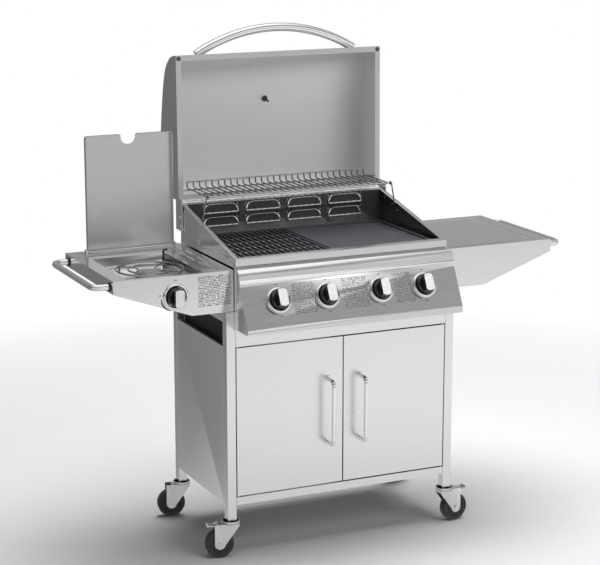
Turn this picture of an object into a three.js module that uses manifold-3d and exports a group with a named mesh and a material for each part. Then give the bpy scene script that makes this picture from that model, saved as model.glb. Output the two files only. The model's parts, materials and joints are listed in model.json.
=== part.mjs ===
// Four-burner gas barbecue grill on a wheeled cabinet, with a side burner and a side shelf.
// Millimetres, +Z up. Inside the group, z = 0 is the floor, x = 0 is the middle of the cabinet and
// y = 0 is the front face of the cabinet, with +Y to the back. The group is then shifted in y, so
// that the origin of the finished grill is the bottom centre of its box.

import * as THREE from 'three';
import { mergeVertices } from 'three/addons/utils/BufferGeometryUtils.js';
import Module from 'manifold-3d';

const wasm = await Module();
wasm.setup();

// ---------------------------------------------------------------- driving dimensions

const BOX_MIDDLE_Y = 211.5;          // middle of the whole grill's box, from the cabinet front
const GAP = 0.4;                     // clearance between neighbouring parts
const SHEET = 2;                     // sheet-metal thickness

const CART = { halfWidth: 325, depth: 370, legSize: 24, legBottom: 98, legTop: 649, legWall: 1.6 };
const RAIL = { bottom: 138, height: 21, depth: 20, topBottom: 556.5, topTop: 601.4 };
const SIDE_SHEET = { inset: 0.3, sheet: 1.5, lip: 10 };
const PANEL_OPENING = { y0: 20 + CART.legSize / 2, y1: 340, z0: 556, z1: 620 };
const BACK_PANEL = { inset: 1.5, sheet: 1.5, halfOpening: 150, low: 210, high: 470 };
const CATCH = { x0: -28, x1: 30, z0: 560.5, z1: 576.5, magnets: [[-22, -6], [8, 24]], magnetLow: 550.5 };

const FIREBOX = {
  halfWidth: 299.3, front: 0, back: 372, innerBack: 360, floor: 602,
  frontTop: 781, rearTop: 862, wall: 2.5, rim: 12, lip: 17,
};
const RIM_FRONT = -2;                // the rim's front edge, and the foot of its slope
const RIM_SLOPE = (FIREBOX.rearTop - FIREBOX.frontTop) / (FIREBOX.back - RIM_FRONT);
const FIREBOX_REAR = { recess: 9, low: 18 };
const DRAIN = { halfWidth: 110, y0: 90, y1: 270 };
const VENTS = { count: 4, first: -239, pitch: 122.7, width: 100, rows: [802, 837], height: 16 };

const BURNER_X = [-205.4, -70.6, 80.7, 205.8];
const BURNER = { radius: 12.5, wall: 1.5, hole: 15, z: 690, front: -12, back: 330 };
const TAMER = { half: 42, eaves: 712, ridge: 742, ridgeHalf: 9, front: 14, back: 350 };
const COOK = { front: 9, back: 354, bottom: 763, top: 775, split: -8, halfWidth: 285, ledge: 8 };
const GRATE = { pitch: 16.5, bar: 3, end: 4, rows: [9, 120, 235, 346], rowWidth: 8, rowDrop: 4 };
const GRIDDLE = { rim: 7, well: 6, footX: 10, footY: 14 };

const PANEL = { halfWidth: 303.7, holeRadius: 6, faceTop: [-36.8, 718.5], faceBottom: [-86, 622] };
const KNOB = {
  z: 681, radius: 26, rise: 2.4, body: 12, grip: 15, gripWidth: 13, stem: 4, stemLength: 16, bevel: 3,
};
const MANIFOLD = {
  depth: 47, radius: 9, left: -250, right: 262, valveRadius: 9.5, valveDepth: 18, inletTop: 628, inletLow: 612,
};
const SIDE_KNOB = { x: -459.3, z: 703.6 };

const TABLE = {
  inner: 304.5, outer: 621, depth: 373, top: 756, endBottom: 722.6, deepBottom: 650, slantStart: 416,
};
const RECESS = { x0: -583, x1: -385, y0: 12, y1: 270, floor: 728, sheet: 1.5, hole: 16 };
const COOLING = { rows: [[-349.5, 62], [-327, 44]], count: 3, pitch: 86, length: 60, halfWidth: 2.4 };
const SHELF_WELL = { x0: 322, x1: 572, y0: 24, y1: 343, depth: 1 };
const SHELF_SLOT = { x0: 577, x1: 581.5, y0: 30, y1: 340 };
const SIDE_BURNER = { x: -478, y: 130 };
const TRIVET = { radius: 88, wire: 5, top: 752 };
const TOWEL_BAR = { radius: 8, reach: 43, z: 738, front: 27, back: 346, bend: 26 };

const LID = { x0: -574, x1: -337, z0: 760, z1: 1063, back: 338.5, flange: 13, pivotY: 329.5, pivotZ: 762 };
const LID_SHEET = 1.5;
const NOTCH = { x: -455.5, radius: 20, depth: 27, flare: 6 };
const EAR = { width: 3, half: 7, bore: 3.2, pin: 2.5 };

const HOOD = { halfWidth: 300, pivotY: 384, pivotZ: 867, lean: 0.0156, opening: 384, flange: 15, pin: 4 };
const HANDLE = { tube: 11.5, halfSpan: 235, rise: 66, t: 31, foot: 380 };
const THERMO = { s: 250, radius: 31, hole: 5 };
const HINGE = { y0: 352, y1: 370, z0: 790, z1: 842, plate0: 1.5, plate1: 4.5, nose: 10, head: 9 };

const RACK = {
  halfWidth: 265, wires: 30, wire: 3.6, front: 258, rear: 415, z: 894,
  upturn: 18, cross: 330, pivotY: 402, pivotX: 297,
};
const RACK_LEG = { x: 270.5, footX: 281, footZ: 838, wire: 4.4, foot: 3.2 };

const DOOR = { edge: 298.3, gap: 3.4, middle: 1, z0: 162.4, z1: 553.2, depth: 16 };
const DOOR_HINGE = { x: 294.5, y: 3 };
const DOOR_HANDLE = { x: 46.2, z0: 275, z1: 445, reach: 39, radius: 5.5, bend: 16 };

const TRAY = { halfWidth: 130, y0: 70, y1: 366, z0: 562, z1: 598 };
const CASTER = {
  radius: 37.5, width: 24, trail: 30, hub: 4, plate: 2, top: 97.6, disc: 21,
  leftAngle: 168, rightAngle: 5,
};

// ---------------------------------------------------------------- finishes

const finish = (color, metalness, roughness) =>
  new THREE.MeshStandardMaterial({ color, metalness, roughness });
const steel = finish(0xb9babc, 1, 0.3);
const darkSteel = finish(0x8d8e90, 1, 0.35);
const chrome = finish(0xe2e4e6, 1, 0.08);
const enamel = finish(0x222226, 0.1, 0.45);
const castIron = finish(0x1c1c1f, 0.3, 0.6);
const zinc = finish(0xc4c6c8, 1, 0.4);
const tyre = finish(0x2a2a2e, 0, 0.7);
const blackPlastic = finish(0x111113, 0, 0.3);
const brass = finish(0xb08a44, 1, 0.35);

// ---------------------------------------------------------------- shape helpers

// A prism of an outline along one axis. The outline is in (y, z) for 'x', (x, z) for 'y' and
// (x, y) for 'z'; holes are outlines in the same plane.
function prism(axis, outline, from, to, holes = []) {
  const shape = outline instanceof THREE.Shape
    ? outline
    : new THREE.Shape(outline.map(([a, b]) => new THREE.Vector2(a, b)));
  for (const hole of holes) {
    shape.holes.push(new THREE.Path(hole.map(([a, b]) => new THREE.Vector2(a, b))));
  }
  const geometry = new THREE.ExtrudeGeometry(shape, {
    depth: to - from, bevelEnabled: false, curveSegments: 5,
  });
  const turn = new THREE.Matrix4();
  if (axis === 'x') turn.makeBasis(v(0, 1, 0), v(0, 0, 1), v(1, 0, 0)).setPosition(from, 0, 0);
  if (axis === 'y') turn.makeBasis(v(1, 0, 0), v(0, 0, 1), v(0, -1, 0)).setPosition(0, to, 0);
  if (axis === 'z') turn.setPosition(0, 0, from);
  return geometry.applyMatrix4(turn);
}

const v = (x, y, z) => new THREE.Vector3(x, y, z);

function box(x0, x1, y0, y1, z0, z1) {
  return new THREE.BoxGeometry(x1 - x0, y1 - y0, z1 - z0)
    .translate((x0 + x1) / 2, (y0 + y1) / 2, (z0 + z1) / 2);
}

// A cylinder between two points.
function rod(a, b, radius, sides = 16) {
  const geometry = new THREE.CylinderGeometry(radius, radius, a.distanceTo(b), sides);
  const turn = new THREE.Quaternion().setFromUnitVectors(v(0, 1, 0), b.clone().sub(a).normalize());
  return geometry.applyQuaternion(turn).translate(...a.clone().add(b).multiplyScalar(0.5));
}

// A path through a list of points, with one step of the sweep for each stretch between them.
class PointPath extends THREE.Curve {
  constructor(points) {
    super();
    this.points = points;
  }

  getPointAt(u) {
    return this.points[Math.round(u * (this.points.length - 1))].clone();
  }

  getTangentAt(u) {
    const last = this.points.length - 1;
    const i = Math.round(u * last);
    const before = this.points[Math.max(i - 1, 0)];
    const after = this.points[Math.min(i + 1, last)];
    return after.clone().sub(before).normalize();
  }
}

// A round bar through a list of points.
function bar(points, radius, sides = 10) {
  const section = new THREE.Shape(new THREE.Path().absarc(0, 0, radius, 0, 2 * Math.PI).getPoints(sides / 2));
  return new THREE.ExtrudeGeometry(section, {
    steps: points.length - 1, extrudePath: new PointPath(points), bevelEnabled: false,
  });
}

// A round bar along straight runs whose corners are rounded.
function bentBar(corners, radius, bend, sides = 10) {
  const points = [corners[0]];
  for (let i = 1; i < corners.length - 1; i++) {
    const corner = corners[i];
    const into = corner.clone().sub(corners[i - 1]).setLength(bend);
    const away = corners[i + 1].clone().sub(corner).setLength(bend);
    const round = new THREE.QuadraticBezierCurve3(corner.clone().sub(into), corner, corner.clone().add(away));
    points.push(...round.getPoints(5));
  }
  points.push(corners[corners.length - 1]);
  return bar(points, radius, sides);
}

// A turned piece about +Z; the profile is (radius, z) and starts and ends on the axis or closes.
function turned(profile, segments = 32) {
  const points = profile.map(([r, z]) => new THREE.Vector2(r, z));
  return new THREE.LatheGeometry(points, segments).rotateX(Math.PI / 2);
}

// ---------------------------------------------------------------- booleans

function solid(geometry) {
  const bare = geometry.clone();
  bare.deleteAttribute('normal');
  bare.deleteAttribute('uv');
  const merged = mergeVertices(bare, 1e-3);
  return new wasm.Manifold(new wasm.Mesh({
    numProp: 3,
    vertProperties: new Float32Array(merged.attributes.position.array),
    triVerts: new Uint32Array(merged.index.array),
  }));
}

const join = (...geometries) => geometries.map(solid).reduce((a, b) => a.add(b));
const cut = (body, ...tools) => tools.map(solid).reduce((a, b) => a.subtract(b), body);

function surface(body) {
  const mesh = body.getMesh();
  const geometry = new THREE.BufferGeometry();
  geometry.setAttribute('position', new THREE.BufferAttribute(new Float32Array(mesh.vertProperties), 3));
  geometry.setIndex(new THREE.BufferAttribute(new Uint32Array(mesh.triVerts), 1));
  geometry.computeVertexNormals();
  return geometry;
}

const grill = new THREE.Group();

function add(name, shape, material, parent = grill) {
  const geometry = shape instanceof THREE.BufferGeometry ? shape : surface(shape);
  const mesh = new THREE.Mesh(geometry, material);
  mesh.name = name;
  parent.add(mesh);
  return mesh;
}

const sides = [['left', -1], ['right', 1]];
const span = (sign, near, far) => (sign > 0 ? [near, far] : [-far, -near]);

// ---------------------------------------------------------------- cart frame

function makeLegs() {
  const { halfWidth, depth, legSize, legBottom, legTop, legWall } = CART;
  const tube = (x0, x1, y0, y1) => [[x0, y0], [x1, y0], [x1, y1], [x0, y1]];
  for (const [side, sign] of sides) {
    for (const [end, y0] of [['front', 0], ['rear', depth - legSize]]) {
      const [x0, x1] = span(sign, halfWidth - legSize, halfWidth);
      const outer = tube(x0, x1, y0, y0 + legSize);
      const inner = tube(x0 + legWall, x1 - legWall, y0 + legWall, y0 + legSize - legWall);
      add(`leg_${end}_${side}`, prism('z', outer, legBottom, legTop, [inner.reverse()]), steel);
    }
  }
}

function makeSidePanels() {
  const { halfWidth, depth, legSize } = CART;
  const { y0, y1, z0, z1 } = PANEL_OPENING;
  const front = legSize + GAP;
  const back = depth - legSize - GAP;
  const bottom = RAIL.bottom;
  const top = CART.legTop - 1;
  const { inset, sheet, lip } = SIDE_SHEET;
  for (const [side, sign] of sides) {
    const [x0, x1] = span(sign, halfWidth - inset - sheet, halfWidth - inset);
    const [lip0, lip1] = span(sign, halfWidth - lip, halfWidth - inset);
    const [in0, in1] = span(sign, halfWidth - lip - 1, halfWidth + 1);
    const panel = join(
      box(x0, x1, front, back, bottom, top),
      box(lip0, lip1, front, back, bottom, bottom + sheet),
      box(lip0, lip1, Math.max(y0, front) - 1, y1 + sheet, z0 - sheet, z1 + sheet),
    );
    add(`side_panel_${side}`, cut(panel, box(in0, in1, front + sheet, y1, z0, z1)), darkSteel);
  }
}

function makeRailsAndFloor() {
  const inner = CART.halfWidth - CART.legSize - GAP;
  const railTop = RAIL.bottom + RAIL.height;
  add('front_bottom_rail', cut(
    join(box(-inner, inner, 0, RAIL.depth, RAIL.bottom, railTop)),
    box(-inner + 2, inner - 2, 1.5, RAIL.depth + 1, RAIL.bottom - 1, railTop - 1.5),
  ), steel);
  add('front_top_rail', cut(
    join(box(-inner, inner, 0, RAIL.depth, RAIL.topBottom, RAIL.topTop)),
    box(-inner + 2, inner - 2, 1.5, RAIL.depth + 1, RAIL.topBottom + 1.5, RAIL.topTop + 1),
  ), steel);
  // floor shelf with an upturned edge all round
  const floorFront = RAIL.depth + GAP;
  const floorBack = CART.depth - 4;
  const shelf = join(box(-inner, inner, floorFront, floorBack, RAIL.bottom, railTop));
  const notches = [];
  for (const [, sign] of sides) {
    const [x0, x1] = span(sign, inner - 1, inner + 1);
    notches.push(box(x0, x1, floorFront - 1, CART.legSize + GAP, 130, 170));
  }
  add('bottom_shelf', cut(
    shelf,
    box(-inner + 1.5, inner - 1.5, floorFront + 1.5, floorBack - 1.5, RAIL.bottom + 1.5, railTop + 1),
    ...notches,
  ), darkSteel);
  // back panel with a wide opening for the gas bottle and its hose
  const panelTop = TRAY.z0 - 12;
  const panelBack = CART.depth - BACK_PANEL.inset;
  const { halfOpening, low, high } = BACK_PANEL;
  add('back_panel', cut(
    join(box(-inner, inner, panelBack - BACK_PANEL.sheet, panelBack, RAIL.bottom, panelTop)),
    box(-halfOpening, halfOpening, panelBack - 10, panelBack + 10, low, high),
  ), darkSteel);
  // double magnetic catch behind the meeting door edges
  const { x0: catch0, x1: catch1, z0: catchLow, z1: catchHigh, magnets, magnetLow } = CATCH;
  add('door_catch', join(
    box(catch0, catch1, RAIL.depth + GAP, RAIL.depth + 16, catchLow, catchHigh),
    ...magnets.map(([m0, m1]) => box(m0, m1, RAIL.depth + 3, RAIL.depth + 14, magnetLow, catchLow + 1)),
  ), blackPlastic);
}

// ---------------------------------------------------------------- firebox and burners

const rimHeight = (y) => FIREBOX.frontTop + (y - RIM_FRONT) * RIM_SLOPE;

function makeFirebox() {
  const { halfWidth: w, front, back, innerBack, floor, wall, rim, lip } = FIREBOX;
  const { recess, low } = FIREBOX_REAR;
  const side = (foot, y0, y1, drop) => [
    [y0, foot], [y1, foot], [y1, rimHeight(y1) - drop], [y0, rimHeight(y0) - drop],
  ];
  let body = join(
    prism('x', side(floor, front, back, 0), -w, w),
    box(-w, w, RIM_FRONT, rim, FIREBOX.frontTop - lip, FIREBOX.frontTop),
  );
  body = cut(
    body,
    prism('x', side(floor + wall, front + wall, innerBack, 3), -w + wall, w - wall),
    prism('x', side(floor + wall, rim + 1, innerBack, -20), -w + rim, w - rim),
    prism('x', side(floor + low, innerBack + wall, back + 5, 3), -w + recess, w - recess),
    box(-w + wall, w - wall, front + wall, 40, 770, FIREBOX.frontTop - wall),
    box(-DRAIN.halfWidth, DRAIN.halfWidth, DRAIN.y0, DRAIN.y1, floor - 5, floor + 10),
  );
  // burner tubes pass through the front wall
  for (const x of BURNER_X) body = cut(body, rod(v(x, -6, BURNER.z), v(x, 8, BURNER.z), BURNER.hole, 20));
  // eight vents in the back wall, in two rows
  for (let column = 0; column < VENTS.count; column++) {
    const x0 = VENTS.first + column * VENTS.pitch;
    for (const z0 of VENTS.rows) {
      body = cut(body, box(x0, x0 + VENTS.width, innerBack - 2, innerBack + 4, z0, z0 + VENTS.height));
    }
  }
  // ledges that carry the cooking surfaces
  body = body
    .add(solid(box(-w + 1, w - 1, 1, COOK.front + COOK.ledge, COOK.bottom - 4, COOK.bottom - GAP)))
    .add(solid(box(-w + 1, w - 1, COOK.back - COOK.ledge, innerBack + 1, COOK.bottom - 4, COOK.bottom - GAP)));
  // a runner for the grease tray on each side, hanging under the floor
  const { halfWidth: tray, y0, y1, z1 } = TRAY;
  for (const [, sign] of sides) {
    const [web0, web1] = span(sign, tray + 13, tray + 16);
    const [foot0, foot1] = span(sign, tray + 2, tray + 16);
    body = body
      .add(solid(box(web0, web1, y0 - 10, y1 - 2, z1 - 12, floor + 1)))
      .add(solid(box(foot0, foot1, y0 - 10, y1 - 2, z1 - 12, z1 - 9)));
  }
  add('firebox', body, enamel);
}

function makeBurners() {
  BURNER_X.forEach((x, i) => {
    const tube = join(
      rod(v(x, BURNER.front, BURNER.z), v(x, BURNER.back, BURNER.z), BURNER.radius, 16),
      box(x - 17, x + 17, BURNER.back - 12, BURNER.back + 4, BURNER.z - 3, BURNER.z + 3),
    );
    const inside = BURNER.radius - BURNER.wall;
    const bore = rod(v(x, BURNER.front - 1, BURNER.z), v(x, BURNER.back - 6, BURNER.z), inside, 16);
    add(`burner_tube_${i + 1}`, cut(tube, bore), steel);
    // the tent above each burner, open below
    const { half, ridgeHalf, ridge, eaves, front, back } = TAMER;
    const above = [[-half, eaves], [-ridgeHalf, ridge], [ridgeHalf, ridge], [half, eaves]];
    const below = [[half - 2.4, eaves], [ridgeHalf - 0.8, ridge - 1.6],
      [0.8 - ridgeHalf, ridge - 1.6], [2.4 - half, eaves]];
    const outline = [...above, ...below].map(([dx, z]) => [x + dx, z]);
    add(`flame_tamer_${i + 1}`, prism('y', outline, front, back), steel);
  });
}

function makeCookingSurfaces() {
  const { front, back, bottom, top, split, halfWidth } = COOK;
  const bars = [];
  const { pitch, bar: half, end, rows, rowWidth, rowDrop } = GRATE;
  const left = -halfWidth;
  const right = split - 1;
  const count = Math.floor((right - left - 2 * end) / pitch) + 1;
  const first = left + end + (right - left - 2 * end - (count - 1) * pitch) / 2;
  for (let i = 0; i < count; i++) {
    const x = first + i * pitch;
    bars.push(box(x - half, x + half, front, back, bottom, top));
  }
  for (const y of rows) bars.push(box(left, right, y, y + rowWidth, bottom, top - rowDrop));
  add('grill_grate', join(...bars), castIron);
  const [gx0, gx1] = [split + 1, halfWidth];
  const { rim, well, footX, footY } = GRIDDLE;
  add('griddle_plate', cut(
    join(box(gx0, gx1, front, back, bottom, top)),
    box(gx0 + rim, gx1 - rim, front + rim, back - rim, top - well, top + 1),
    box(gx0 + footX, gx1 - footX, front + footY, back - footY, bottom - 1, bottom + 1),
  ), castIron);
}

function makeGreaseTray() {
  const { halfWidth, y0, y1, z0, z1 } = TRAY;
  const tray = join(
    box(-halfWidth, halfWidth, y0, y1, z0, z1 - 6),
    box(-halfWidth - 12, halfWidth + 12, y0, y1, z1 - 8, z1 - 6),
    box(-60, 60, y1 - 1, y1 + 16, z1 - 12, z1 - 8),
  );
  add('grease_tray', cut(tray, box(-halfWidth + 1.5, halfWidth - 1.5, y0 + 1.5, y1 - 1.5, z0 + 1.5, z1)), steel);
}

// ---------------------------------------------------------------- control panel, gas train, knobs

const faceLength = Math.hypot(
  PANEL.faceTop[0] - PANEL.faceBottom[0], PANEL.faceTop[1] - PANEL.faceBottom[1],
);
const faceNormal = v(
  0,
  -(PANEL.faceTop[1] - PANEL.faceBottom[1]) / faceLength,
  (PANEL.faceTop[0] - PANEL.faceBottom[0]) / faceLength,
);
const faceY = (z) => PANEL.faceTop[0]
  + (PANEL.faceTop[1] - z) / (PANEL.faceTop[1] - PANEL.faceBottom[1]) * (PANEL.faceBottom[0] - PANEL.faceTop[0]);
const onFace = (x, depth) => v(x, faceY(KNOB.z), KNOB.z).addScaledVector(faceNormal, depth);

function makeControlPanel() {
  const outer = [
    [-2.6, 763.4], [-2.6, 601], [-8, 601], [-8, 605], [-87, 605], [-86, 622], [-36.8, 718.5],
    [-37.2, 731.4], [-33.6, 734.5], [-31.9, 746.3], [-26.3, 755.2], [-21, 759.6],
  ];
  const inner = [
    [0, 761], [-20, 757.2], [-24.6, 753.6], [-30, 745.4], [-31.7, 733.6], [-35.2, 730.4],
    [-34.8, 719], [-84, 622.5], [-85, 607], [-70, 607], [-70, 590], [0, 590],
  ];
  const w = PANEL.halfWidth;
  let panel = cut(join(prism('x', outer, -w, w)), prism('x', inner, -w + SHEET, w - SHEET));
  for (const x of BURNER_X) {
    panel = cut(panel, rod(onFace(x, 6), onFace(x, -10), PANEL.holeRadius, 20));
  }
  add('control_panel', panel, steel);
}

function makeGasTrain() {
  const { depth, radius, left, right, valveRadius, valveDepth, inletTop, inletLow } = MANIFOLD;
  const spine = onFace(0, -depth);
  const parts = [rod(v(left, spine.y, spine.z), v(right, spine.y, spine.z), radius, 14)];
  for (const x of BURNER_X) parts.push(rod(onFace(x, -valveDepth), onFace(x, -depth), valveRadius, 14));
  parts.push(rod(v(right, spine.y, spine.z + 4), v(right, spine.y, inletTop), radius, 14));
  parts.push(rod(v(right, spine.y, inletTop + 2), v(right, spine.y, inletLow), radius - 2, 14));
  add('gas_manifold', join(...parts), brass);
  const pipe = [v(SIDE_KNOB.x, 36, SIDE_KNOB.z), v(SIDE_KNOB.x, 60, SIDE_KNOB.z - 6),
    v(SIDE_BURNER.x, SIDE_BURNER.y, 696)];
  add('side_burner_valve', join(
    rod(v(SIDE_KNOB.x, 17, SIDE_KNOB.z), v(SIDE_KNOB.x, 42, SIDE_KNOB.z), valveRadius, 14),
    bentBar(pipe, 5, 12, 8),
    rod(v(SIDE_BURNER.x, SIDE_BURNER.y, 690), v(SIDE_BURNER.x, SIDE_BURNER.y, 706), 11, 14),
  ), brass);
}

// A knob about +Z, standing on z = 0: a stepped disc, a straight grip bar and a stem behind.
function knobBody() {
  const { radius, rise, body, grip, gripWidth, stem, stemLength, bevel } = KNOB;
  const face = rise + body;
  return join(
    turned([[0, -stemLength], [stem, -stemLength], [stem, rise], [radius, rise], [radius, face - bevel],
      [radius - bevel, face], [0, face]], 24),
    box(-gripWidth / 2, gripWidth / 2, -radius + 2, radius - 2, face - 1, face + grip),
  );
}

function makeKnobs() {
  const tilt = new THREE.Quaternion().setFromUnitVectors(v(0, 0, 1), faceNormal);
  BURNER_X.forEach((x, i) => {
    const knob = add(`burner_knob_${i + 1}`, knobBody(), blackPlastic);
    knob.quaternion.copy(tilt);
    knob.position.copy(onFace(x, 0));
  });
  const knob = add('side_burner_knob', knobBody(), blackPlastic);
  knob.rotation.x = Math.PI / 2;
  knob.position.set(SIDE_KNOB.x, 0, SIDE_KNOB.z);
}

// ---------------------------------------------------------------- side tables

function tableOutline(sign, grow) {
  const { inner, outer, top, endBottom, deepBottom, slantStart } = TABLE;
  const drop = grow ? 30 : 0;
  const points = [
    [inner + (grow ? SHEET : 0), top - (grow ? SHEET : 0)],
    [inner + (grow ? SHEET : 0), deepBottom - drop],
    [slantStart, deepBottom - drop],
    [outer - (grow ? SHEET : 0), endBottom - drop],
    [outer - (grow ? SHEET : 0), top - (grow ? SHEET : 0)],
  ].map(([x, z]) => [sign * x, z]);
  return sign > 0 ? points : points.reverse();
}

function tableShell(sign) {
  return cut(
    join(prism('y', tableOutline(sign, false), 0, TABLE.depth)),
    prism('y', tableOutline(sign, true), SHEET, TABLE.depth - SHEET),
  );
}

function makeBurnerTable() {
  const { x0, x1, y0, y1, floor, sheet, hole } = RECESS;
  let table = tableShell(-1)
    .add(solid(box(x0 - sheet, x1 + sheet, y0 - sheet, y1 + sheet, floor - sheet, TABLE.top - 1)));
  table = cut(
    table,
    box(x0, x1, y0, y1, floor, TABLE.top + 2),
    rod(v(SIDE_BURNER.x, SIDE_BURNER.y, floor - 5), v(SIDE_BURNER.x, SIDE_BURNER.y, floor + 5), hole, 24),
    rod(v(SIDE_KNOB.x, -3, SIDE_KNOB.z), v(SIDE_KNOB.x, 5, SIDE_KNOB.z), PANEL.holeRadius, 20),
  );
  // two staggered rows of cooling slots between the recess and the firebox
  const { rows, count, pitch, length, halfWidth } = COOLING;
  for (const [x, start] of rows) {
    for (let i = 0; i < count; i++) {
      const y = start + i * pitch;
      table = cut(table, box(x - halfWidth, x + halfWidth, y, y + length, TABLE.top - 5, TABLE.top + 5));
    }
  }
  // ears that carry the lid's hinge pin
  const { pivotY, pivotZ } = LID;
  for (const x of [LID.x0 - 2 * EAR.width, LID.x1 + EAR.width]) {
    const ear = join(box(x, x + EAR.width, pivotY - EAR.half, pivotY + EAR.half, TABLE.top - 1, pivotZ + EAR.half));
    table = table.add(cut(ear, rod(v(x - 2, pivotY, pivotZ), v(x + 5, pivotY, pivotZ), EAR.bore, 16)));
  }
  add('side_burner_table', table, steel);
}

function makeShelf() {
  const { top } = TABLE;
  add('side_shelf', cut(
    tableShell(1),
    box(SHELF_WELL.x0, SHELF_WELL.x1, SHELF_WELL.y0, SHELF_WELL.y1, top - SHELF_WELL.depth, top + 2),
    box(SHELF_SLOT.x0, SHELF_SLOT.x1, SHELF_SLOT.y0, SHELF_SLOT.y1, top - 5, top + 5),
  ), steel);
}

function makeTowelBars() {
  const { radius, reach, z, front, back, bend } = TOWEL_BAR;
  for (const [side, sign] of sides) {
    const root = sign * (TABLE.outer + GAP);
    const out = sign * (TABLE.outer + reach);
    const path = [v(root, front, z), v(out, front, z), v(out, back, z), v(root, back, z)];
    add(`towel_bar_${side}`, bentBar(path, radius, bend), chrome);
  }
}

// ---------------------------------------------------------------- side burner

function makeSideBurner() {
  const { x, y } = SIDE_BURNER;
  const floor = RECESS.floor;
  const head = turned([
    [0, 707], [13.5, 707], [13.5, floor + 1], [30, floor + 1], [38, floor + 6], [38, floor + 11],
    [30, floor + 13], [24, floor + 18], [0, floor + 19],
  ], 24).translate(x, y, 0);
  add('side_burner_head', head, castIron);
  // pot support: a ring on four feet, with arms that run in over the burner
  const { radius, wire, top } = TRIVET;
  const ring = turned([[radius - wire, top - wire], [radius, top - wire], [radius, top],
    [radius - wire, top], [radius - wire, top - wire]], 32).translate(x, y, 0);
  const pieces = [ring];
  for (let i = 0; i < 4; i++) {
    const turn = Math.PI / 4 + i * Math.PI / 2;
    const arm = box(30, radius - 1, -wire / 2, wire / 2, top - wire + 0.5, top - 0.5).rotateZ(turn);
    const foot = box(radius - wire, radius - 0.5, -wire / 2, wire / 2, floor + GAP, top - 1).rotateZ(turn);
    pieces.push(arm.translate(x, y, 0), foot.translate(x, y, 0));
  }
  add('side_burner_trivet', join(...pieces), castIron);
}

function makeBurnerLid() {
  const { x0, x1, z0, z1, back, flange, pivotY, pivotZ } = LID;
  // the notch is a U with rounded shoulders
  const { x, radius, depth, flare } = NOTCH;
  const notch = new THREE.Shape();
  notch.moveTo(x - radius - flare, z1 + 5);
  notch.lineTo(x - radius - flare, z1);
  notch.quadraticCurveTo(x - radius, z1, x - radius, z1 - flare);
  notch.absarc(x, z1 - depth + radius, radius, Math.PI, 2 * Math.PI, false);
  notch.lineTo(x + radius, z1 - flare);
  notch.quadraticCurveTo(x + radius, z1, x + radius + flare, z1);
  notch.lineTo(x + radius + flare, z1 + 5);
  const corner = 8;
  const outline = new THREE.Shape();
  outline.moveTo(x0, z0);
  outline.lineTo(x1, z0);
  outline.lineTo(x1, z1 - corner);
  outline.quadraticCurveTo(x1, z1, x1 - corner, z1);
  outline.lineTo(x0 + corner, z1);
  outline.quadraticCurveTo(x0, z1, x0, z1 - corner);
  const lid = cut(
    join(prism('y', outline, back - flange, back)),
    box(x0 + LID_SHEET, x1 - LID_SHEET, back - flange - 1, back - LID_SHEET, z0 - 1, z1 - LID_SHEET),
    prism('y', notch, back - flange - 2, back + 2),
  );
  add('side_burner_lid', lid.add(
    solid(rod(v(x0 - 7, pivotY, pivotZ), v(x1 + 7, pivotY, pivotZ), EAR.pin, 12)),
  ), steel);
}

// ---------------------------------------------------------------- hood

// Hood coordinates: s runs up the opening from the hinge, t runs back from the opening.
const hoodPoint = (s, t) => [
  HOOD.pivotY + s * HOOD.lean + t, HOOD.pivotZ + s - t * HOOD.lean,
];

// The section's outside, from the front edge over the top of the closed hood to the hinge edge.
function hoodOutside() {
  const crown = new THREE.SplineCurve([
    [384, 0], [382, 20], [375, 44], [359, 66], [337, 83], [297, 98], [240, 111], [183, 121],
    [120, 129], [66, 132],
  ].map(([s, t]) => new THREE.Vector2(s, t))).getPoints(18);
  const corner = new THREE.Path().absarc(40, 92, 40, Math.PI / 2, Math.PI, false).getPoints(4);
  return [...crown, ...corner, new THREE.Vector2(0, 0)];
}

// The same line moved in by a thickness.
function insideOf(line, thickness) {
  return line.map((point, i) => {
    const before = line[Math.max(i - 1, 0)];
    const after = line[Math.min(i + 1, line.length - 1)];
    const along = after.clone().sub(before).normalize();
    return new THREE.Vector2(point.x - along.y * thickness, point.y + along.x * thickness);
  });
}

function makeHood() {
  const outside = hoodOutside();
  const inside = insideOf(outside, SHEET)
    .map((point) => new THREE.Vector2(Math.max(point.x, SHEET), Math.max(point.y, 1.5)));
  inside[0].set(HOOD.opening - SHEET, 1.5);
  inside[inside.length - 1].set(SHEET, 1.5);
  const w = HOOD.halfWidth;
  const flat = (line) => line.map((point) => hoodPoint(point.x, point.y));
  const { flange, opening } = HOOD;
  const mouth = [[flange, -3], [opening - flange, -3], [opening - flange, 4], [flange, 4]];
  let shell = cut(
    join(prism('x', flat(outside).reverse(), -w, w)),
    prism('x', flat(inside).reverse(), -w + SHEET, w - SHEET),
    prism('x', mouth.map(([s, t]) => hoodPoint(s, t)).reverse(), -w + flange, w - flange),
  );
  for (const [, sign] of sides) {
    shell = cut(shell, rod(
      v(sign * (w - 8), HOOD.pivotY, HOOD.pivotZ), v(sign * (w + 5), HOOD.pivotY, HOOD.pivotZ), HOOD.pin + 0.8, 20,
    ));
  }
  // thermometer through the top
  const probe = thermometerAxis();
  shell = cut(shell, rod(probe.at(-14), probe.at(14), THERMO.hole, 20));
  add('hood_shell', shell, steel);
  makeThermometer(probe);
  makeHandle(outside);
}

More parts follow.
